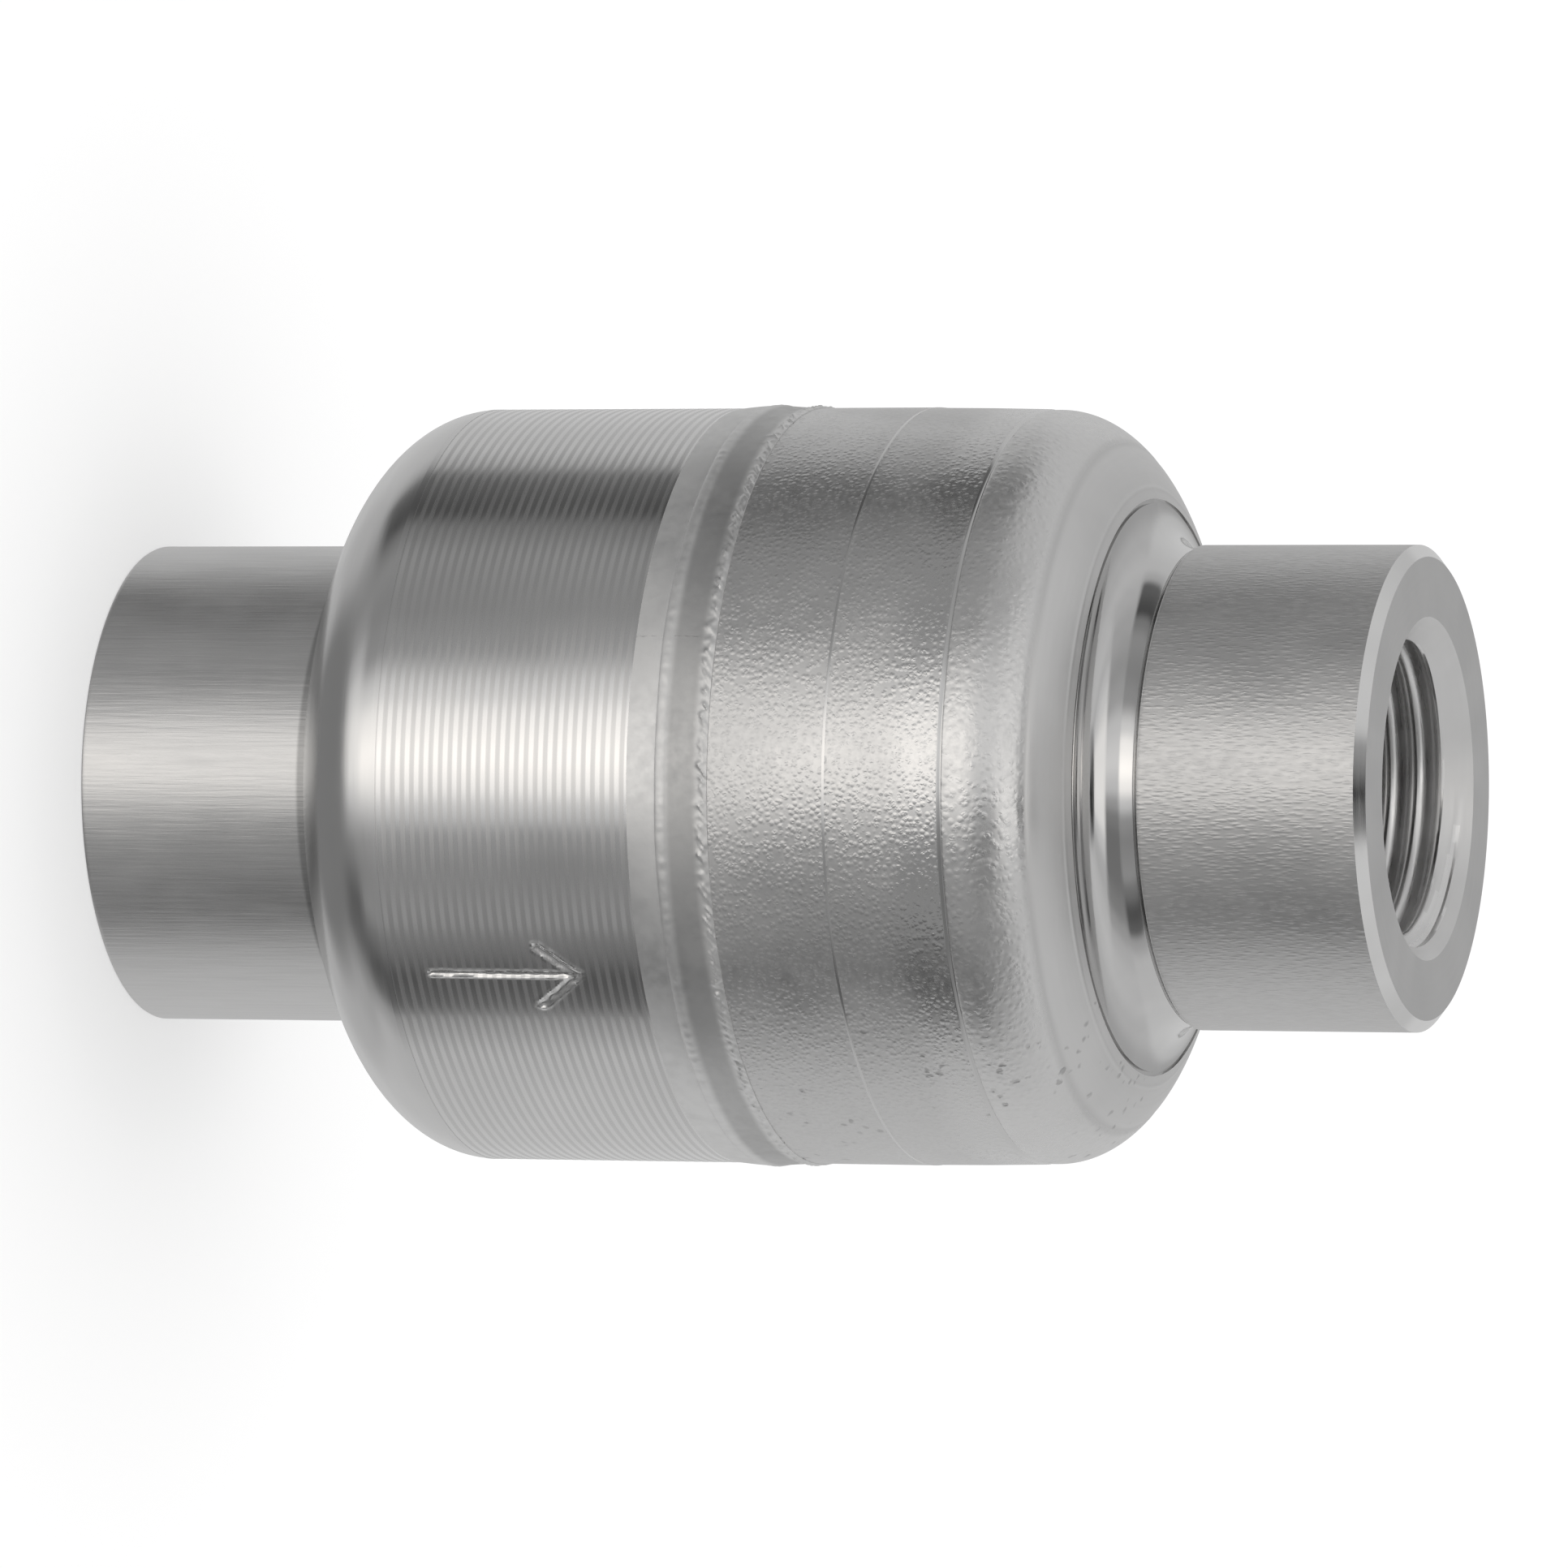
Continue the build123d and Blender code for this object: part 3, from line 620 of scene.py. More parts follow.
def ring_hollows_group():
    """Ring hollows: one in the hollow between two turned rings, nought on the rings themselves."""
    group, given, leave = new_group(
        "Ring hollows", {"Vector": (0, 0, 0), "Start": 0.0, "Pitch": 0.001}, {"Hollow": 0.0})
    above = maths(group, "SUBTRACT", axes(group, given["Vector"])["Z"], given["Start"])
    phase = maths(group, "FRACT", maths(group, "DIVIDE", above, given["Pitch"]))
    away = maths(group, "ABSOLUTE", maths(group, "SUBTRACT", phase, 0.5))
    hand_out(group, leave, Hollow=ranged(group, away, (0.16, 0.34), (1.0, 0.0), smooth=True))
    return group


def level_band_group():
    """Level band: one between two levels of the valve, with soft edges."""
    group, given, leave = new_group(
        "Level band", {"Vector": (0, 0, 0), "Low": 0.0, "High": 0.001, "Edge": 0.0002}, {"Band": 0.0})
    level = axes(group, given["Vector"])["Z"]
    sides = []
    for lower, upper in ((given["Low"], level), (level, given["High"])):
        share = maths(group, "DIVIDE", maths(group, "SUBTRACT", upper, lower), given["Edge"])
        sides.append(ranged(group, share, (-1.0, 1.0), smooth=True))
    hand_out(group, leave, Band=maths(group, "MULTIPLY", *sides))
    return group


def round_coordinates_group():
    """Round coordinates: the position as radius, arc length round the barrel and level."""
    group, given, leave = new_group("Round coordinates", {"Vector": (0, 0, 0)}, {"Vector": (0, 0, 0)})
    parts = axes(group, given["Vector"])
    across = maths(group, "MULTIPLY", maths(group, "ARCTAN2", parts["Y"], parts["X"]), BARREL_RADIUS * MM)
    flat = add(group, "ShaderNodeCombineXYZ", links={"X": parts["X"], "Y": parts["Y"]})
    radius = add(group, "ShaderNodeVectorMath", {"operation": "LENGTH"}, links={0: flat.outputs[0]})
    joined = add(group, "ShaderNodeCombineXYZ", links={
        "X": radius.outputs["Value"], "Y": across, "Z": parts["Z"]})
    hand_out(group, leave, Vector=joined.outputs[0])
    return group


def pits_group():
    """Pits: small irregular holes, many on the +X side and few elsewhere."""
    group, given, leave = new_group("Pits", {"Vector": (0, 0, 0), "Patches": 0.5, "Bias": 0.0}, {"Pit": 0.0})
    bend = add(group, "ShaderNodeTexNoise", values={"Scale": 1800.0, "Detail": 1.0},
               links={"Vector": given["Vector"]})
    moved = add(group, "ShaderNodeVectorMath", {"operation": "MULTIPLY_ADD"}, {1: (PIT_BEND,) * 3},
                {0: bend.outputs["Color"], 2: given["Vector"]})
    spots = add(group, "ShaderNodeTexVoronoi", {"feature": "F1"}, {"Scale": 950.0, "Randomness": 1.0},
                {"Vector": moved.outputs[0]})
    hole = ranged(group, spots.outputs["Distance"], (0.1, 0.3), (1.0, 0.0), smooth=True)
    side = axes(group, given["Vector"])["X"]
    fewer = ranged(group, side, (0.006, 0.019), (-0.2, -0.01), smooth=True)
    chance = maths(group, "ADD", given["Patches"], given["Bias"])
    region = ranged(group, maths(group, "ADD", chance, fewer), (0.46, 0.5))
    hand_out(group, leave, Pit=maths(group, "MULTIPLY", hole, region))
    return group


GROUPS = {}


def make_groups():
    """Make the shared node groups."""
    for make in (grain_group, ring_hollows_group, level_band_group, round_coordinates_group, pits_group):
        group = make()
        GROUPS[group.name] = group


def group_node(tree, name, values=None, links=None):
    """A placed copy of one of the shared node groups."""
    return add(tree, "ShaderNodeGroup", {"node_tree": GROUPS[name]}, values, links)


def level_band(tree, where, low, high, edge):
    """One between two levels of the valve, with soft edges."""
    band = group_node(tree, "Level band", {"Low": low, "High": high, "Edge": edge}, {"Vector": where})
    return band.outputs["Band"]


def start_material(name):
    """A new material with its node tree, its shader and its position."""
    material = bpy.data.materials.new(name)
    material.use_nodes = True
    tree = material.node_tree
    return material, tree, tree.nodes["Principled BSDF"], add(tree, "ShaderNodeTexCoord").outputs["Object"]


def mottled(tree, patches, colour, darkest, brightest):
    """The colour, a little darker or brighter from one wide patch to the next."""
    shade = add(tree, "ShaderNodeMapRange", {"data_type": "FLOAT_VECTOR"}, {
        7: (0.3, 0.3, 0.3), 8: (0.7, 0.7, 0.7), 9: tuple(c * darkest for c in colour),
        10: tuple(min(1.0, c * brightest) for c in colour)}, {"Vector": patches})
    return shade.outputs["Vector"]


def darkened(tree, mask, tint, kept):
    """The colour, with a share of it kept where the mask is one."""
    return add(tree, "ShaderNodeMix", {"data_type": "RGBA", "blend_type": "MULTIPLY"},
               {7: (kept, kept, kept, 1.0)}, {0: mask, 6: tint}).outputs[2]


def dress(tree, shader, tint, rough, height, strength, distance):
    """Give the shader its colour, its roughness and a fine relief."""
    relief = add(tree, "ShaderNodeBump", values={"Strength": strength, "Distance": distance},
                 links={"Height": height})
    tree.links.new(tint, shader.inputs["Base Color"])
    tree.links.new(rough, shader.inputs["Roughness"])
    tree.links.new(relief.outputs[0], shader.inputs["Normal"])


def steel(name, colour, roughness, spread, scale, stretch, bump, detail=4.0, distortion=0.0, raised=False,
          patch_spread=0.05, pits=None, rings=None, rubbed=None, stain_and_shade=None):
    """Bare steel with a grain. Roughness varies with the grain and over wide patches.

    Pits are given as their depth, as a multiple of the grain's, and a bias that makes them more or fewer.
    Rings are given as their start, their pitch, the added roughness of the hollows and the share of the
    colour that the hollows keep: painted shade in the hollows. A rubbed band is given as its low and high
    level, its soft edge and the change of roughness, and a band of stain and painted shade has the share of
    the colour that it keeps instead.
    """
    material, tree, shader, where = start_material(name)
    shader.inputs["Metallic"].default_value = 1.0
    source = where
    if stretch[1] != stretch[2]:
        source = group_node(tree, "Round coordinates", links={"Vector": where}).outputs["Vector"]
    grain = group_node(tree, "Grain", {
        "Stretch": stretch, "Scale": scale, "Detail": detail, "Distortion": distortion}, {"Vector": source})
    patches = grain.outputs["Patches"]
    fine = ranged(tree, grain.outputs["Height"], GRAIN_SPAN, (roughness - spread, roughness + spread))
    wide = ranged(tree, patches, (0.35, 0.65), (-patch_spread, patch_spread))
    rough = maths(tree, "ADD", fine, wide, clamp=True)
    tint = mottled(tree, patches, colour, 0.95, 1.05)
    if rings:
        start, pitch, added, kept = rings
        hollow = group_node(tree, "Ring hollows", {"Start": start, "Pitch": pitch}, {"Vector": where})
        rough = maths(tree, "MULTIPLY_ADD", hollow.outputs["Hollow"], added, rough)
        # Painted shade: the colour is darker in the hollows between the rings
        tint = darkened(tree, hollow.outputs["Hollow"], tint, kept)
    if rubbed:
        *levels, change = rubbed
        rough = maths(tree, "MULTIPLY_ADD", level_band(tree, where, *levels), change, rough)
    # A darker band: the weld seam's own darker tone, and painted shade at the outlet dome's crease and beside
    # the inlet dome
    if stain_and_shade:
        *levels, kept = stain_and_shade
        tint = darkened(tree, level_band(tree, where, *levels), tint, kept)
    height = grain.outputs["Marks" if raised else "Height"]
    if pits:
        depth, bias = pits
        pitted = group_node(tree, "Pits", {"Bias": bias}, {"Vector": where, "Patches": patches})
        height = maths(tree, "MULTIPLY_ADD", pitted.outputs["Pit"], -depth, height)
        tint = darkened(tree, pitted.outputs["Pit"], tint, 0.72)
    dress(tree, shader, tint, rough, height, 1.0, bump)
    return material


def soft_material(name, colour, roughness, scale, bump):
    """Rubber or plastic: an even colour with a fine mottle."""
    material, tree, shader, where = start_material(name)
    grain = group_node(tree, "Grain", {"Scale": scale, "Detail": 3.0}, {"Vector": where})
    rough = ranged(tree, grain.outputs["Height"], GRAIN_SPAN, (roughness - 0.06, roughness + 0.06))
    tint = mottled(tree, grain.outputs["Patches"], colour, 0.85, 1.1)
    dress(tree, shader, tint, rough, grain.outputs["Height"], 0.5, bump)
    return material


FINISHES = {}


def make_finishes(finish, shell):
    """Every material of the valve."""
    make_groups()
    bare = tuple(finish.steel)
    ringed, pale, light = (tuple(c * share for c in bare) for share in (1.06, 1.1, 1.2))
    along = (1, 1, 0.06)
    around = (1, 0.04, 1)
    fine_round = (1, 0.02, 1.6)
    dashes = (1, 1, 0.42)
    even = (1, 1, 1)
    # The ring hollows keep 0.88 of the colour, which is painted shade in the hollows
    rings = (WELD_LOW * MM - shell.ring_count * shell.ring_pitch, shell.ring_pitch, 0.16, 0.88)
    rubbed_edge = (59.5 * MM, 70.0 * MM, 1.5 * MM, -0.14)
    # Painted shade along the crease of the outlet dome, on the shoulder and the collar
    crease_painted_shade = ((CREASE_LEVEL - 0.1) * MM, (CREASE_LEVEL + 0.1) * MM, 0.3 * MM, 0.8)
    # Painted shade on the inlet spigot beside the dome, standing in for the dome's shadow and dark reflection
    # there
    junction_painted_shade = (15.25 * MM, 16.8 * MM, 0.15 * MM, 0.6)
    dull_seam = (RIDGE_HIGH * MM, (BURR_LOW + 0.05) * MM, 0.28 * MM, 0.71)
    FINISHES.update({
        "satin": steel("Satin spigot steel", bare, 0.37, 0.05, 3000, along, 0.000018, detail=6.0,
                       stain_and_shade=junction_painted_shade),
        "turned": steel("Turned steel", bare, 0.18, 0.03, 2600, around, 0.000003),
        "rings": steel("Ringed steel", ringed, 0.13, 0.03, 2600, around, 0.000002, patch_spread=0.03,
                       rings=rings),
        "machined": steel("Machined steel", bare, 0.34, 0.05, 2400, around, 0.000006),
        "faced": steel("Faced end steel", bare, 0.42, 0.04, 2400, around, 0.000004),
        "cut": steel("Bright cut steel", light, 0.12, 0.03, 2400, around, 0.000002),
        "sunk": steel("Countersunk steel", pale, 0.4, 0.04, 2400, around, 0.000004),
        "weld": steel("Weld metal", tuple(finish.weld), 0.48, 0.06, 1400, even, 0.000009, patch_spread=0.1,
                      stain_and_shade=dull_seam),
        "blasted": steel("Blasted steel", bare, 0.38, 0.04, 2900, even, 0.00002, detail=2.0, distortion=0.2,
                         raised=True, rubbed=rubbed_edge, patch_spread=0.08, pits=(1.2, -0.075)),
        "shoulder": steel("Shoulder steel", pale, 0.34, 0.05, 2200, even, 0.000018, detail=2.0, raised=True,
                          pits=(2.5, 0.0), stain_and_shade=crease_painted_shade, patch_spread=0.08),
        "collar": steel("Satin collar steel", pale, 0.4, 0.04, 2300, around, 0.000006, pits=(2.5, -0.02),
                        stain_and_shade=crease_painted_shade),
        "neck": steel("Polished neck steel", bare, 0.09, 0.03, 2600, around, 0.000004),
        "streaked": steel("Streaked spigot steel", bare, 0.46, 0.05, 3000, dashes, 0.000015, detail=2.0,
                          raised=True),
        # The thread takes the light copy of the steel: painted light that brightens the shaded bore
        "thread": steel("Cut thread steel", light, 0.3, 0.1, 3200, fine_round, 0.00002),
        "wire": steel("Spring wire", bare, 0.2, 0.04, 3000, around, 0.000003),
        "rubber": soft_material("Seal rubber", tuple(finish.rubber), 0.55, 1500, 0.00001),
        "plastic": soft_material("Bush plastic", tuple(finish.plastic), 0.42, 900, 0.000006),
    })


# Operators


class VALVE_OT_finishes(bpy.types.Operator):
    """Make the materials of every piece"""

    bl_idname = "valve.finishes"
    bl_label = "Finishes"

    def execute(self, context):
        make_finishes(context.scene.valve_finish, context.scene.valve_shell)
        return {"FINISHED"}


class VALVE_OT_inlet_half(bpy.types.Operator):
    """Turn the inlet half with its rings, thread and engraved arrow"""

    bl_idname = "valve.inlet_half"
    bl_label = "Inlet half"

    def execute(self, context):
        shell = context.scene.valve_shell
        spigot = shell.spigot_radius / MM
        pitch, depth = shell.thread_pitch / MM, shell.thread_depth / MM
        finishes = ("satin", "turned", "rings", "machined", "thread", "sunk")
        satin, turned, rings, machined, thread, sunk = range(len(finishes))
        columns = (COLUMNS, crowded_columns, ARROW_ANGLE - math.pi)
        bm = helical_bore(0.0, THREAD_END, pitch, depth, True, (thread, sunk), *columns)
        port_low = THREAD_END + RELIEF_LENGTH
        groove_low, groove_high, groove = SEAT_GROOVE
        corner = (CHAMBER - CHAMBER_CORNER, CHAMBER_FLOOR + CHAMBER_CORNER)
        inner = [
            (RELIEF_RADIUS, THREAD_END), (RELIEF_RADIUS, port_low), (INLET_PORT, port_low),
            (INLET_PORT, COUNTERBORE_FLOOR), (COUNTERBORE, COUNTERBORE_FLOOR), (COUNTERBORE, groove_low),
            (groove, groove_low), (groove, groove_high), (COUNTERBORE, groove_high),
            (COUNTERBORE, CHAMBER_FLOOR), *arc(corner, (CHAMBER_CORNER, CHAMBER_CORNER), -90, 0, 5),
            (CHAMBER, REGISTER_END), (REGISTER, REGISTER_END), (REGISTER, WELD_MIDDLE - ROOT_HALF),
            (BARREL_RADIUS, WELD_LOW),
        ]
        ring_low = WELD_LOW - shell.ring_count * shell.ring_pitch / MM
        wall = []
        rows = 4
        for i in range(shell.ring_count * rows, -1, -1):
            hollow = shell.ring_depth / MM * math.sin(math.pi * i / rows) ** 2
            wall.append((BARREL_RADIUS - hollow, ring_low + i * shell.ring_pitch / MM / rows))
        start = -math.degrees(math.acos((spigot - INLET_DOME_CENTRE[0]) / INLET_DOME_RADII[0]))
        dome = arc(INLET_DOME_CENTRE, INLET_DOME_RADII, 0, start, 26)
        junction = dome[-1][1]
        sunk_level = junction - UNDERCUT_LENGTH
        rounding = SPIGOT_CHAMFER / 3
        end = [
            (spigot - UNDERCUT, junction - 0.03), (spigot - UNDERCUT, sunk_level),
            (spigot, sunk_level - 0.06), (spigot, junction / 2), (spigot, SPIGOT_CHAMFER),
            (spigot - rounding, rounding), (spigot - SPIGOT_CHAMFER, 0.0),
        ]
        lathe(bm, [(machined, inner), (rings, wall), (turned, dome), (satin, end),
                   (machined, [(MOUTH_RADIUS, 0.0)])], *columns)
        engrave_arrow(bm, shell.stroke_width / MM, shell.stroke_depth / MM)
        close_up(bm)
        piece = link_mesh("inlet_half", bm, [FINISHES[key] for key in finishes])
        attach(piece, "housing")
        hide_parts("inlet_body")
        return {"FINISHED"}


class VALVE_OT_outlet_half(bpy.types.Operator):
    """Turn the outlet half with its shoulder, neck and thread"""

    bl_idname = "valve.outlet_half"
    bl_label = "Outlet half"

    def execute(self, context):
        shell = context.scene.valve_shell
        spigot = shell.spigot_radius / MM
        pitch, depth = shell.thread_pitch / MM, shell.thread_depth / MM
        finishes = ("blasted", "shoulder", "collar", "neck", "streaked", "machined", "faced", "thread", "cut",
                    "sunk", "turned")
        (blasted, shoulder, collar, neck, streaked, machined, faced, thread, cut,
         sunk, turned) = range(len(finishes))
        thread_low = FACE_TO_FACE - THREAD_END
        bm = helical_bore(thread_low, FACE_TO_FACE, pitch, depth, False, (thread, sunk), COLUMNS,
                          start=OUTLET_THREAD_START)
        dome_end = math.degrees(math.acos((NECK_RADIUS - OUTLET_DOME_CENTRE[0]) / OUTLET_DOME_RADII[0]))
        ellipse = (OUTLET_DOME_CENTRE, OUTLET_DOME_RADII)
        dome = arc(*ellipse, 0, CREASE - 2.5, 18)
        valley = swell(CREASE, 1.2, -0.04, 2)
        band = arc(*ellipse, CREASE + 4, DOME_RIDGE - 2.4, 6)
        ridge = swell(DOME_RIDGE, 0.6, 0.03, 3)
        lip = arc(*ellipse, DOME_RIDGE + 2.6, dome_end, 3)
        edge, face = lip[-1]
        near_wall, far_wall, far_edge = (edge - distance for distance in NECK_GROOVE)
        groove_floor, groove_top = face - NECK_GROOVE_DEPTH, face + 0.02
        bottom = (spigot - NECK_UNDERCUT, NECK_END - NECK_CURL)
        hollow = (far_edge - bottom[0], bottom[1] - groove_top)
        fillet = arc((far_edge, bottom[1]), hollow, 270, 180, 22)[1:]
        curl = arc((bottom[0] + NECK_CURL, bottom[1]), (NECK_CURL, NECK_CURL), 180, 120, 5)[1:]
        chamfer, chamfer_length = RIM_CHAMFER
        step = OUTLET_BARREL_END
        loose_register = REGISTER + REGISTER_GAP
        outside = [
            (blasted, [(loose_register, WELD_MIDDLE + ROOT_HALF + REGISTER_GAP),
                       *over_barrel((0.0, WELD_HIGH), (0.0, BARREL_MIDDLE), (0.0, LINE_LEVEL - 0.02))]),
            (turned, over_barrel((0.012, LINE_LEVEL + 0.02), (0.008, LINE_LEVEL + 0.16))),
            (blasted, over_barrel((-0.03, LINE_LEVEL + 0.26), (-0.07, TAPER_LEVEL), (-0.15, step - 0.26))),
            (neck, over_barrel((-STEP_GROOVE, step - 0.04), (-STEP_GROOVE, step))),
            (shoulder, [(SHOULDER_RADIUS - 0.03, step + 0.06), (SHOULDER_RADIUS, step + 0.16),
                        (SHOULDER_RADIUS, step + 0.4), *dome, *valley[:3]]),
            (collar, [*valley[3:], *band, *ridge, *lip]),
            (neck, [(near_wall, groove_floor), (far_wall, groove_floor), (far_edge, groove_top),
                    *fillet, *curl]),
            (streaked, [(spigot - 0.02, NECK_END - 0.02), (spigot, NECK_END + 0.06), (spigot, SPIGOT_MIDDLE),
                        (spigot, FACE_TO_FACE - chamfer_length)]),
            (cut, [(spigot - chamfer, FACE_TO_FACE)]),
            (faced, [(MOUTH_RADIUS, FACE_TO_FACE)]),
        ]
        port_high = thread_low - RELIEF_LENGTH
        cone_radius, cone_height = OUTLET_CONE
        groove_low, groove_high, groove = GUIDE_GROOVE
        register_floor = REGISTER_END + 0.2
        inside = [
            (RELIEF_RADIUS, thread_low), (RELIEF_RADIUS, port_high), (OUTLET_PORT, port_high),
            (OUTLET_PORT, OUTLET_FLOOR + cone_height), (cone_radius, OUTLET_FLOOR), (CHAMBER, OUTLET_FLOOR),
            (CHAMBER, groove_high), (groove, groove_high), (groove, groove_low), (CHAMBER, groove_low),
            (CHAMBER, register_floor), (loose_register, register_floor),
        ]
        lathe(bm, [(machined, inside), *outside], COLUMNS)
        close_up(bm)
        piece = link_mesh("outlet_half", bm, [FINISHES[key] for key in finishes])
        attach(piece, "housing")
        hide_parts("outlet_body")
        return {"FINISHED"}


class VALVE_OT_weld(bpy.types.Operator):
    """Lay the weld bead between the halves"""

    bl_idname = "valve.weld"
    bl_label = "Weld bead"

    def execute(self, context):
        bm = bmesh.new()
        burr = [(-0.03, WELD_HIGH), *((WELD_EDGE, level) for level in evenly(WELD_HIGH - 0.02, BURR_LOW, 10))]
        valley = [(WELD_EDGE + (WELD_CROWN - WELD_EDGE) * share ** VALLEY_BEND,
                   BURR_LOW + (RIDGE_HIGH - BURR_LOW) * share) for share in evenly(0, 1, 12)[1:]]
        ridge = [(WELD_CROWN + RIDGE_RISE * math.sin(math.pi * share),
                  RIDGE_HIGH + (RIDGE_LOW - RIDGE_HIGH) * share) for share in evenly(0, 1, 8)[1:-1]]
        ridge += [(WELD_CROWN - 0.02, RIDGE_LOW), (WELD_CROWN, RIDGE_LOW - 0.1)]
        side = [(WELD_SIDE * (1 - share ** SIDE_BEND), SIDE_HIGH + (WELD_LOW - SIDE_HIGH) * share)
                for share in evenly(0, 1, 8)]
        outside = over_barrel(*burr, *valley, *ridge, *side)
        root = [(REGISTER, WELD_MIDDLE - ROOT_HALF), (REGISTER, WELD_MIDDLE + ROOT_HALF)]
        lathe(bm, [(0, [*outside, *root, outside[0]])], WELD_COLUMNS)
        for vert in bm.verts:
            radius, level = math.hypot(vert.co.x, vert.co.y), vert.co.z
            if radius < BARREL_RADIUS - WELD_SKIN:
                continue
            angle = math.atan2(vert.co.y, vert.co.x)
            drift = self.unevenness(angle, level, DRIFT)
            ripple = self.unevenness(angle, level, RIPPLE)
            grit = self.unevenness(angle - BURR_LEAN * (level - WELD_HIGH), level, GRIT)
            near_burr = math.exp(-((level - BURR_MIDDLE + BURR_WANDER * ripple) / BURR_SPREAD) ** 2)
            near_ridge = math.exp(-((level - RIDGE_MIDDLE) / RIDGE_SPREAD) ** 2)
            rise = near_burr * (BURR_RISE + BURR_GRIT * grit + BURR_RIPPLE * ripple)
            rise += near_ridge * (RIDGE_GRIT * grit + RIDGE_RIPPLE * ripple)
            grown = min(radius + rise, WELD_RADIUS) / radius
            vert.co.x *= grown
            vert.co.y *= grown
            if WELD_LOW + WELD_SKIN < level < WELD_HIGH - WELD_SKIN:
                vert.co.z += WELD_DRIFT * drift
        close_up(bm)
        piece = link_mesh("weld_seam", bm, [FINISHES["weld"]])
        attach(piece, "housing")
        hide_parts("weld_bead")
        return {"FINISHED"}

    def unevenness(self, angle, level, bumps):
        """Noise on the bead, with so many bumps round it and along the axis."""
        around, along = bumps
        return noise.noise(Vector((math.cos(angle) * around, math.sin(angle) * around, level * along)))


class VALVE_OT_spring(bpy.types.Operator):
    """Wind the closing spring"""

    bl_idname = "valve.spring"
    bl_label = "Closing spring"

    def execute(self, context):
        wire, turns, steps, sides, crease = 0.4, 8, 56, 14, math.radians(50)
        length = SPRING_HIGH - SPRING_LOW
        bm = bmesh.new()
        section = bmesh.ops.create_circle(bm, cap_ends=False, radius=wire, segments=sides)["verts"]
        bmesh.ops.rotate(bm, cent=(0, 0, 0), matrix=Matrix.Rotation(math.pi / 2, 3, "X"), verts=section)
        bmesh.ops.translate(bm, vec=(SPRING_OUTER - wire, 0, SPRING_LOW), verts=section)
        bmesh.ops.spin(
            bm, geom=bm.verts[:] + bm.edges[:], cent=(0, 0, 0), axis=(0, 0, 1),
            dvec=(0, 0, length / turns / steps), angle=TURN * turns, steps=turns * steps, use_merge=False,
            use_duplicate=False)
        for level, normal in ((SPRING_LOW, (0, 0, -1)), (SPRING_HIGH, (0, 0, 1))):
            cut = bmesh.ops.bisect_plane(
                bm, geom=bm.verts[:] + bm.edges[:] + bm.faces[:], plane_co=(0, 0, level), plane_no=normal,
                clear_outer=True)
            bmesh.ops.holes_fill(bm, edges=[g for g in cut["geom_cut"] if isinstance(g, bmesh.types.BMEdge)])
        bmesh.ops.holes_fill(bm, edges=[e for e in bm.edges if e.is_boundary])
        bmesh.ops.recalc_face_normals(bm, faces=bm.faces)
        soften(bm, crease)
        piece = link_mesh("spring_coil", bm, [FINISHES["wire"]])
        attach(piece, "housing")
        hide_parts("closing_spring")
        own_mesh(piece)
        return {"FINISHED"}


class VALVE_OT_inner_pieces(bpy.types.Operator):
    """Finish the pieces inside the shell"""

    bl_idname = "valve.inner_pieces"
    bl_label = "Inner pieces"

    def execute(self, context):
        finish_of = {"machined_steel": "machined", "spring_wire": "wire", "seal_rubber": "rubber",
                     "bush_plastic": "plastic"}
        slots = {part["node"]: part["material_slot"] for part in frame["record"]["subparts"]}
        for node, piece in frame["nodes"].items():
            key = finish_of.get(slots.get(node))
            if key is None:
                continue
            for place in piece.material_slots:
                place.material = FINISHES[key]
        return {"FINISHED"}


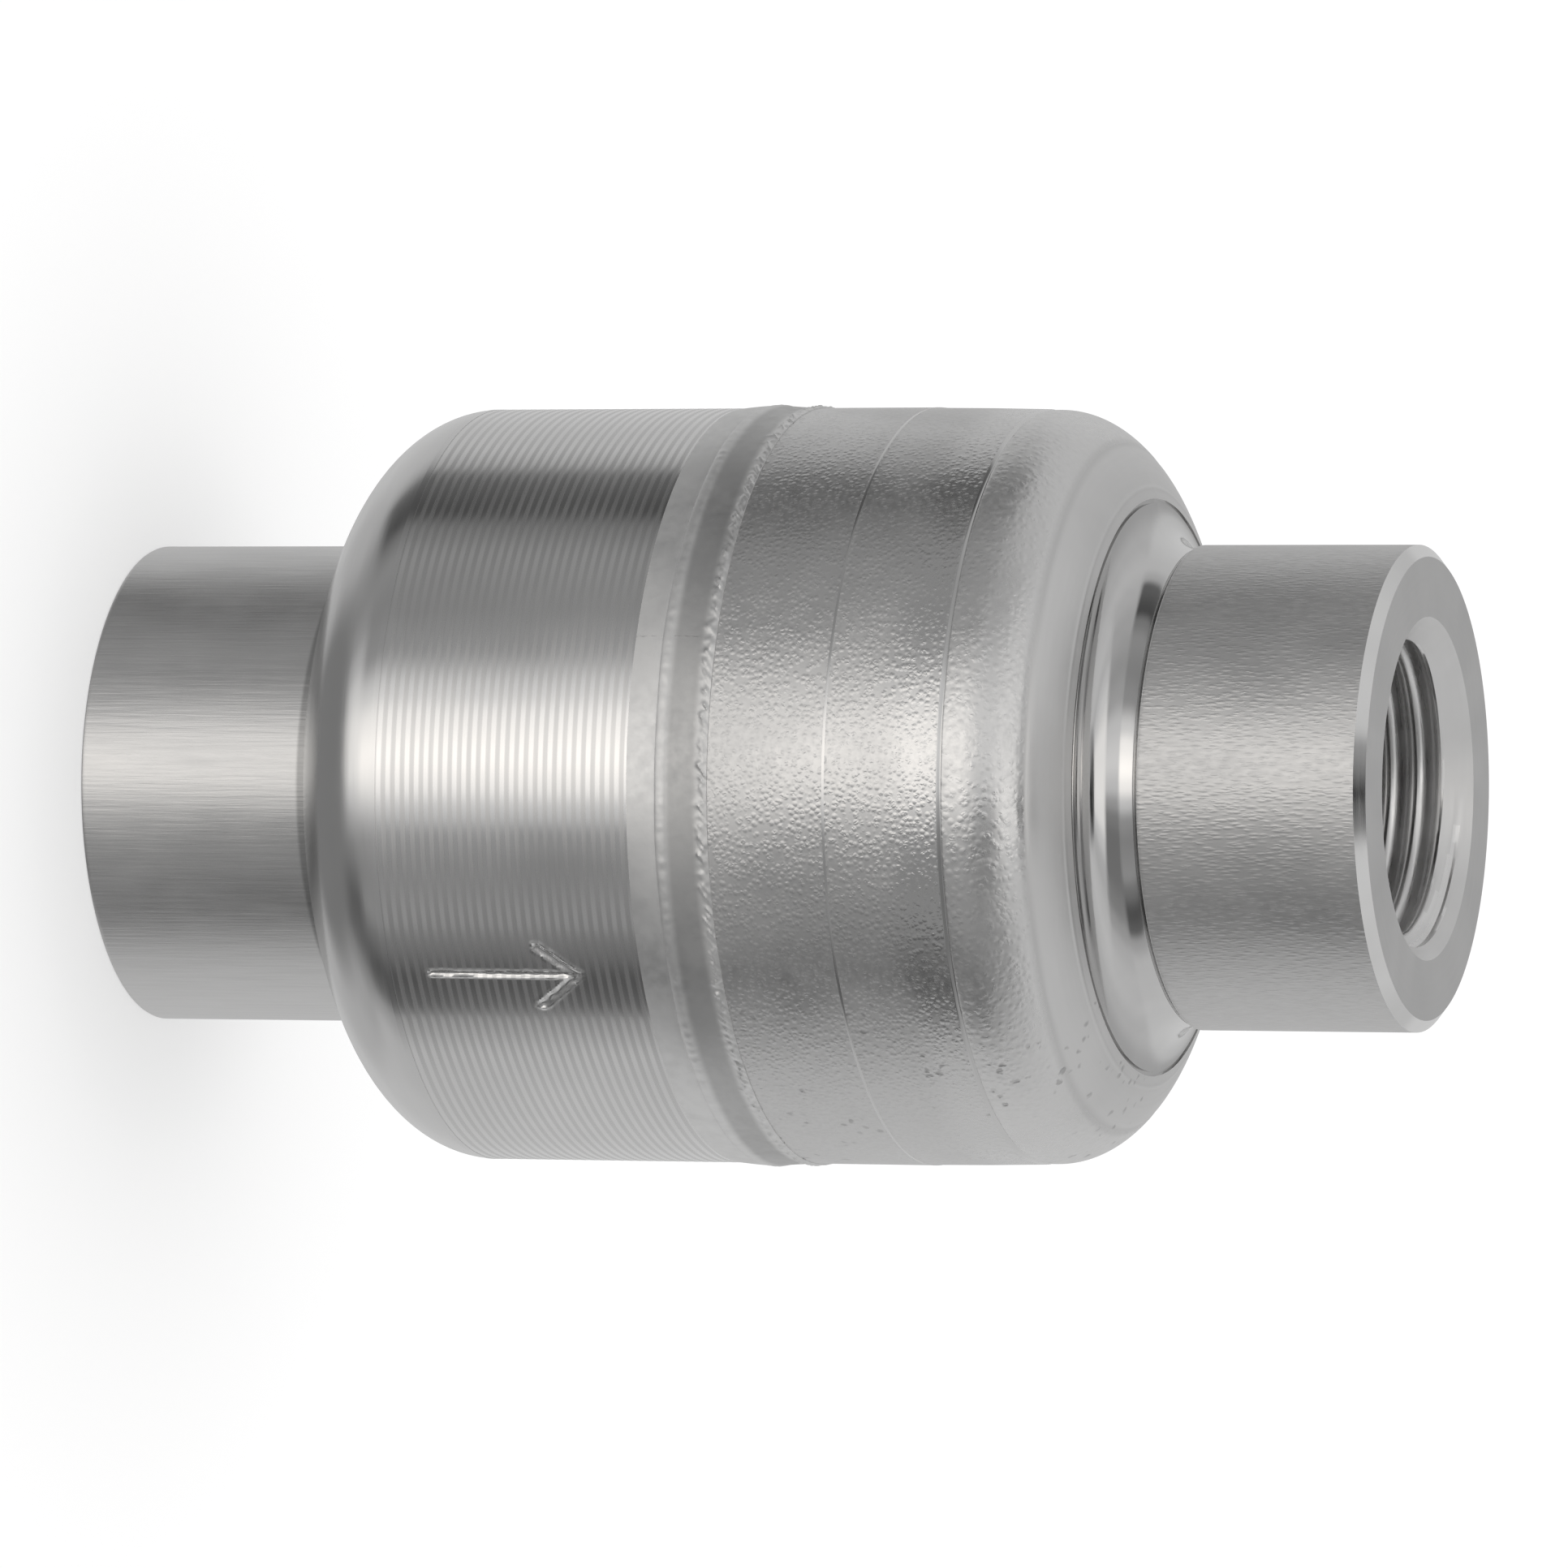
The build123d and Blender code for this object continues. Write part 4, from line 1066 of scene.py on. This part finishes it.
class VALVE_OT_stage(bpy.types.Operator):
    """Set the floor, the lamp, the world and the camera"""

    bl_idname = "valve.stage"
    bl_label = "Stage"

    def execute(self, context):
        stage = context.scene.valve_stage
        scene = context.scene
        scene.view_settings.view_transform = "Standard"
        bm = bmesh.new()
        bmesh.ops.create_circle(bm, cap_ends=True, radius=FLOOR_RADIUS, segments=FLOOR_SIDES)
        floor = link_mesh("floor", bm, [self.floor_material(stage)])
        floor.visible_glossy = False
        self.world(scene)
        self.lamp("top lamp", place=(-0.2, 0.25, 1.2), size=1.0, power=2.0)
        self.camera(scene, stage)
        return {"FINISHED"}

    def floor_material(self, stage):
        """Pale, and faintly lit by itself so that the valve's shadow on it stays light."""
        material = bpy.data.materials.new("Pale floor")
        material.use_nodes = True
        shader = material.node_tree.nodes["Principled BSDF"]
        shader.inputs["Base Color"].default_value = (*stage.floor_colour, 1.0)
        shader.inputs["Roughness"].default_value = 0.9
        shader.inputs["Emission Color"].default_value = (1.0, 1.0, 1.0, 1.0)
        shader.inputs["Emission Strength"].default_value = FLOOR_GLOW
        return material

    def world(self, scene):
        """A studio round the valve, in bands from the floor to the zenith, which only polished steel sees."""
        world = bpy.data.worlds.new("Studio")
        scene.world = world
        world.use_nodes = True
        tree = world.node_tree
        tree.nodes.clear()
        parts = axes(tree, add(tree, "ShaderNodeTexCoord").outputs["Generated"])
        angle = maths(tree, "ARCTAN2", parts["X"], maths(tree, "MULTIPLY", parts["Y"], -1.0))
        share = ranged(tree, angle, (-math.pi, math.pi))
        height = maths(tree, "ARCSINE", parts["Z"])
        lit = self.ramp(tree, share, [(-180, ROOM_LIGHT), (180, ROOM_LIGHT)])
        for (low, high), stops in STUDIO_BANDS:
            over = ranged(tree, height, (math.radians(low), math.radians(high)), smooth=True)
            lit = add(tree, "ShaderNodeMix", {"data_type": "RGBA"},
                      links={0: over, 6: lit, 7: self.ramp(tree, share, stops)}).outputs[2]
        glossy = add(tree, "ShaderNodeBackground", values={"Strength": 1.0}, links={"Color": lit})
        plain = add(tree, "ShaderNodeBackground", values={"Color": (1, 1, 1, 1), "Strength": 1.0})
        ray = add(tree, "ShaderNodeLightPath")
        mix = add(tree, "ShaderNodeMixShader", links={
            0: ray.outputs["Is Glossy Ray"], 1: plain.outputs[0], 2: glossy.outputs[0]})
        add(tree, "ShaderNodeOutputWorld", links={0: mix.outputs[0]})

    def ramp(self, tree, source, stops):
        """A smooth ramp of greys round the valve. Bright stops are slightly warm."""
        node = add(tree, "ShaderNodeValToRGB", links={0: source})
        bar = node.color_ramp
        bar.interpolation = "EASE"
        for i, (degrees, value) in enumerate(stops):
            position = degrees / 360 + 0.5
            point = bar.elements[i] if i < 2 else bar.elements.new(position)
            point.position = position
            warmth = max(0.0, value - WARM_FROM) * WARMTH
            point.color = (value, value * (1 - warmth * 0.7), value * (1 - warmth * 1.6), 1)
        return node.outputs["Color"]

    def lamp(self, name, place, size, power):
        """A square soft lamp that looks at the valve."""
        light = bpy.data.lights.new(name, "AREA")
        light.shape = "SQUARE"
        light.size = size
        light.energy = power
        lamp = bpy.data.objects.new(name, light)
        lamp.location = place
        lamp.rotation_mode = "QUATERNION"
        aim = Vector((0, 0, FACE_TO_FACE * MM / 2)) - Vector(place)
        lamp.rotation_quaternion = aim.to_track_quat("-Z", "Y")
        lamp.visible_camera = False
        lamp.visible_glossy = False
        bpy.context.scene.collection.objects.link(lamp)

    def camera(self, scene, stage):
        """The photograph's camera: raised towards the outlet, and rolled a quarter turn."""
        data = bpy.data.cameras.new("Camera")
        data.sensor_width = 36.0
        data.lens = stage.focal_pixels / FRAME_PIXELS * data.sensor_width
        camera = bpy.data.objects.new("Camera", data)
        rise = stage.camera_rise
        centre = Vector((0, 0, FACE_TO_FACE * MM / 2))
        back = Vector((0, -math.cos(rise), math.sin(rise)))
        right = Vector((0, math.sin(rise), math.cos(rise)))
        up = Vector((-1, 0, 0))
        place = centre + back * stage.camera_distance
        data.shift_x, data.shift_y = (pixels / FRAME_PIXELS for pixels in CAMERA_SHIFT)
        data.clip_start, data.clip_end = 0.05, 20.0
        turn = Matrix((right, up, back)).transposed()
        roll = Matrix.Rotation(stage.camera_roll, 4, "Z")
        camera.matrix_world = Matrix.Translation(place) @ turn.to_4x4() @ roll
        scene.collection.objects.link(camera)
        scene.camera = camera


class VALVE_PT_panel(bpy.types.Panel):
    """The valve's steps and sizes in the sidebar"""

    bl_idname = "VALVE_PT_panel"
    bl_label = "Non-return valve"
    bl_space_type = "VIEW_3D"
    bl_region_type = "UI"
    bl_category = "Valve"

    def draw(self, context):
        layout = self.layout
        for group in (context.scene.valve_shell, context.scene.valve_finish, context.scene.valve_stage):
            box = layout.box()
            for key in group.__annotations__:
                box.prop(group, key)
        for step in STEPS_IN_ORDER:
            layout.operator(step.bl_idname)


SETTINGS = {
    "valve_shell": ValveShellSettings,
    "valve_finish": ValveFinishSettings,
    "valve_stage": ValveStageSettings,
}
STEPS_IN_ORDER = (
    VALVE_OT_finishes, VALVE_OT_inlet_half, VALVE_OT_outlet_half, VALVE_OT_weld, VALVE_OT_spring,
    VALVE_OT_inner_pieces, VALVE_OT_stage)
CLASSES = (*SETTINGS.values(), *STEPS_IN_ORDER, VALVE_PT_panel)


def register():
    for item in CLASSES:
        bpy.utils.register_class(item)
    for name, group in SETTINGS.items():
        setattr(bpy.types.Scene, name, bpy.props.PointerProperty(type=group))


def unregister():
    for name in SETTINGS:
        delattr(bpy.types.Scene, name)
    for item in reversed(CLASSES):
        bpy.utils.unregister_class(item)


def main():
    register()
    bpy.ops.valve.finishes()
    bpy.ops.valve.inlet_half()
    bpy.ops.valve.outlet_half()
    bpy.ops.valve.weld()
    bpy.ops.valve.spring()
    bpy.ops.valve.inner_pieces()
    bpy.ops.valve.stage()


if __name__ == "__main__":
    main()
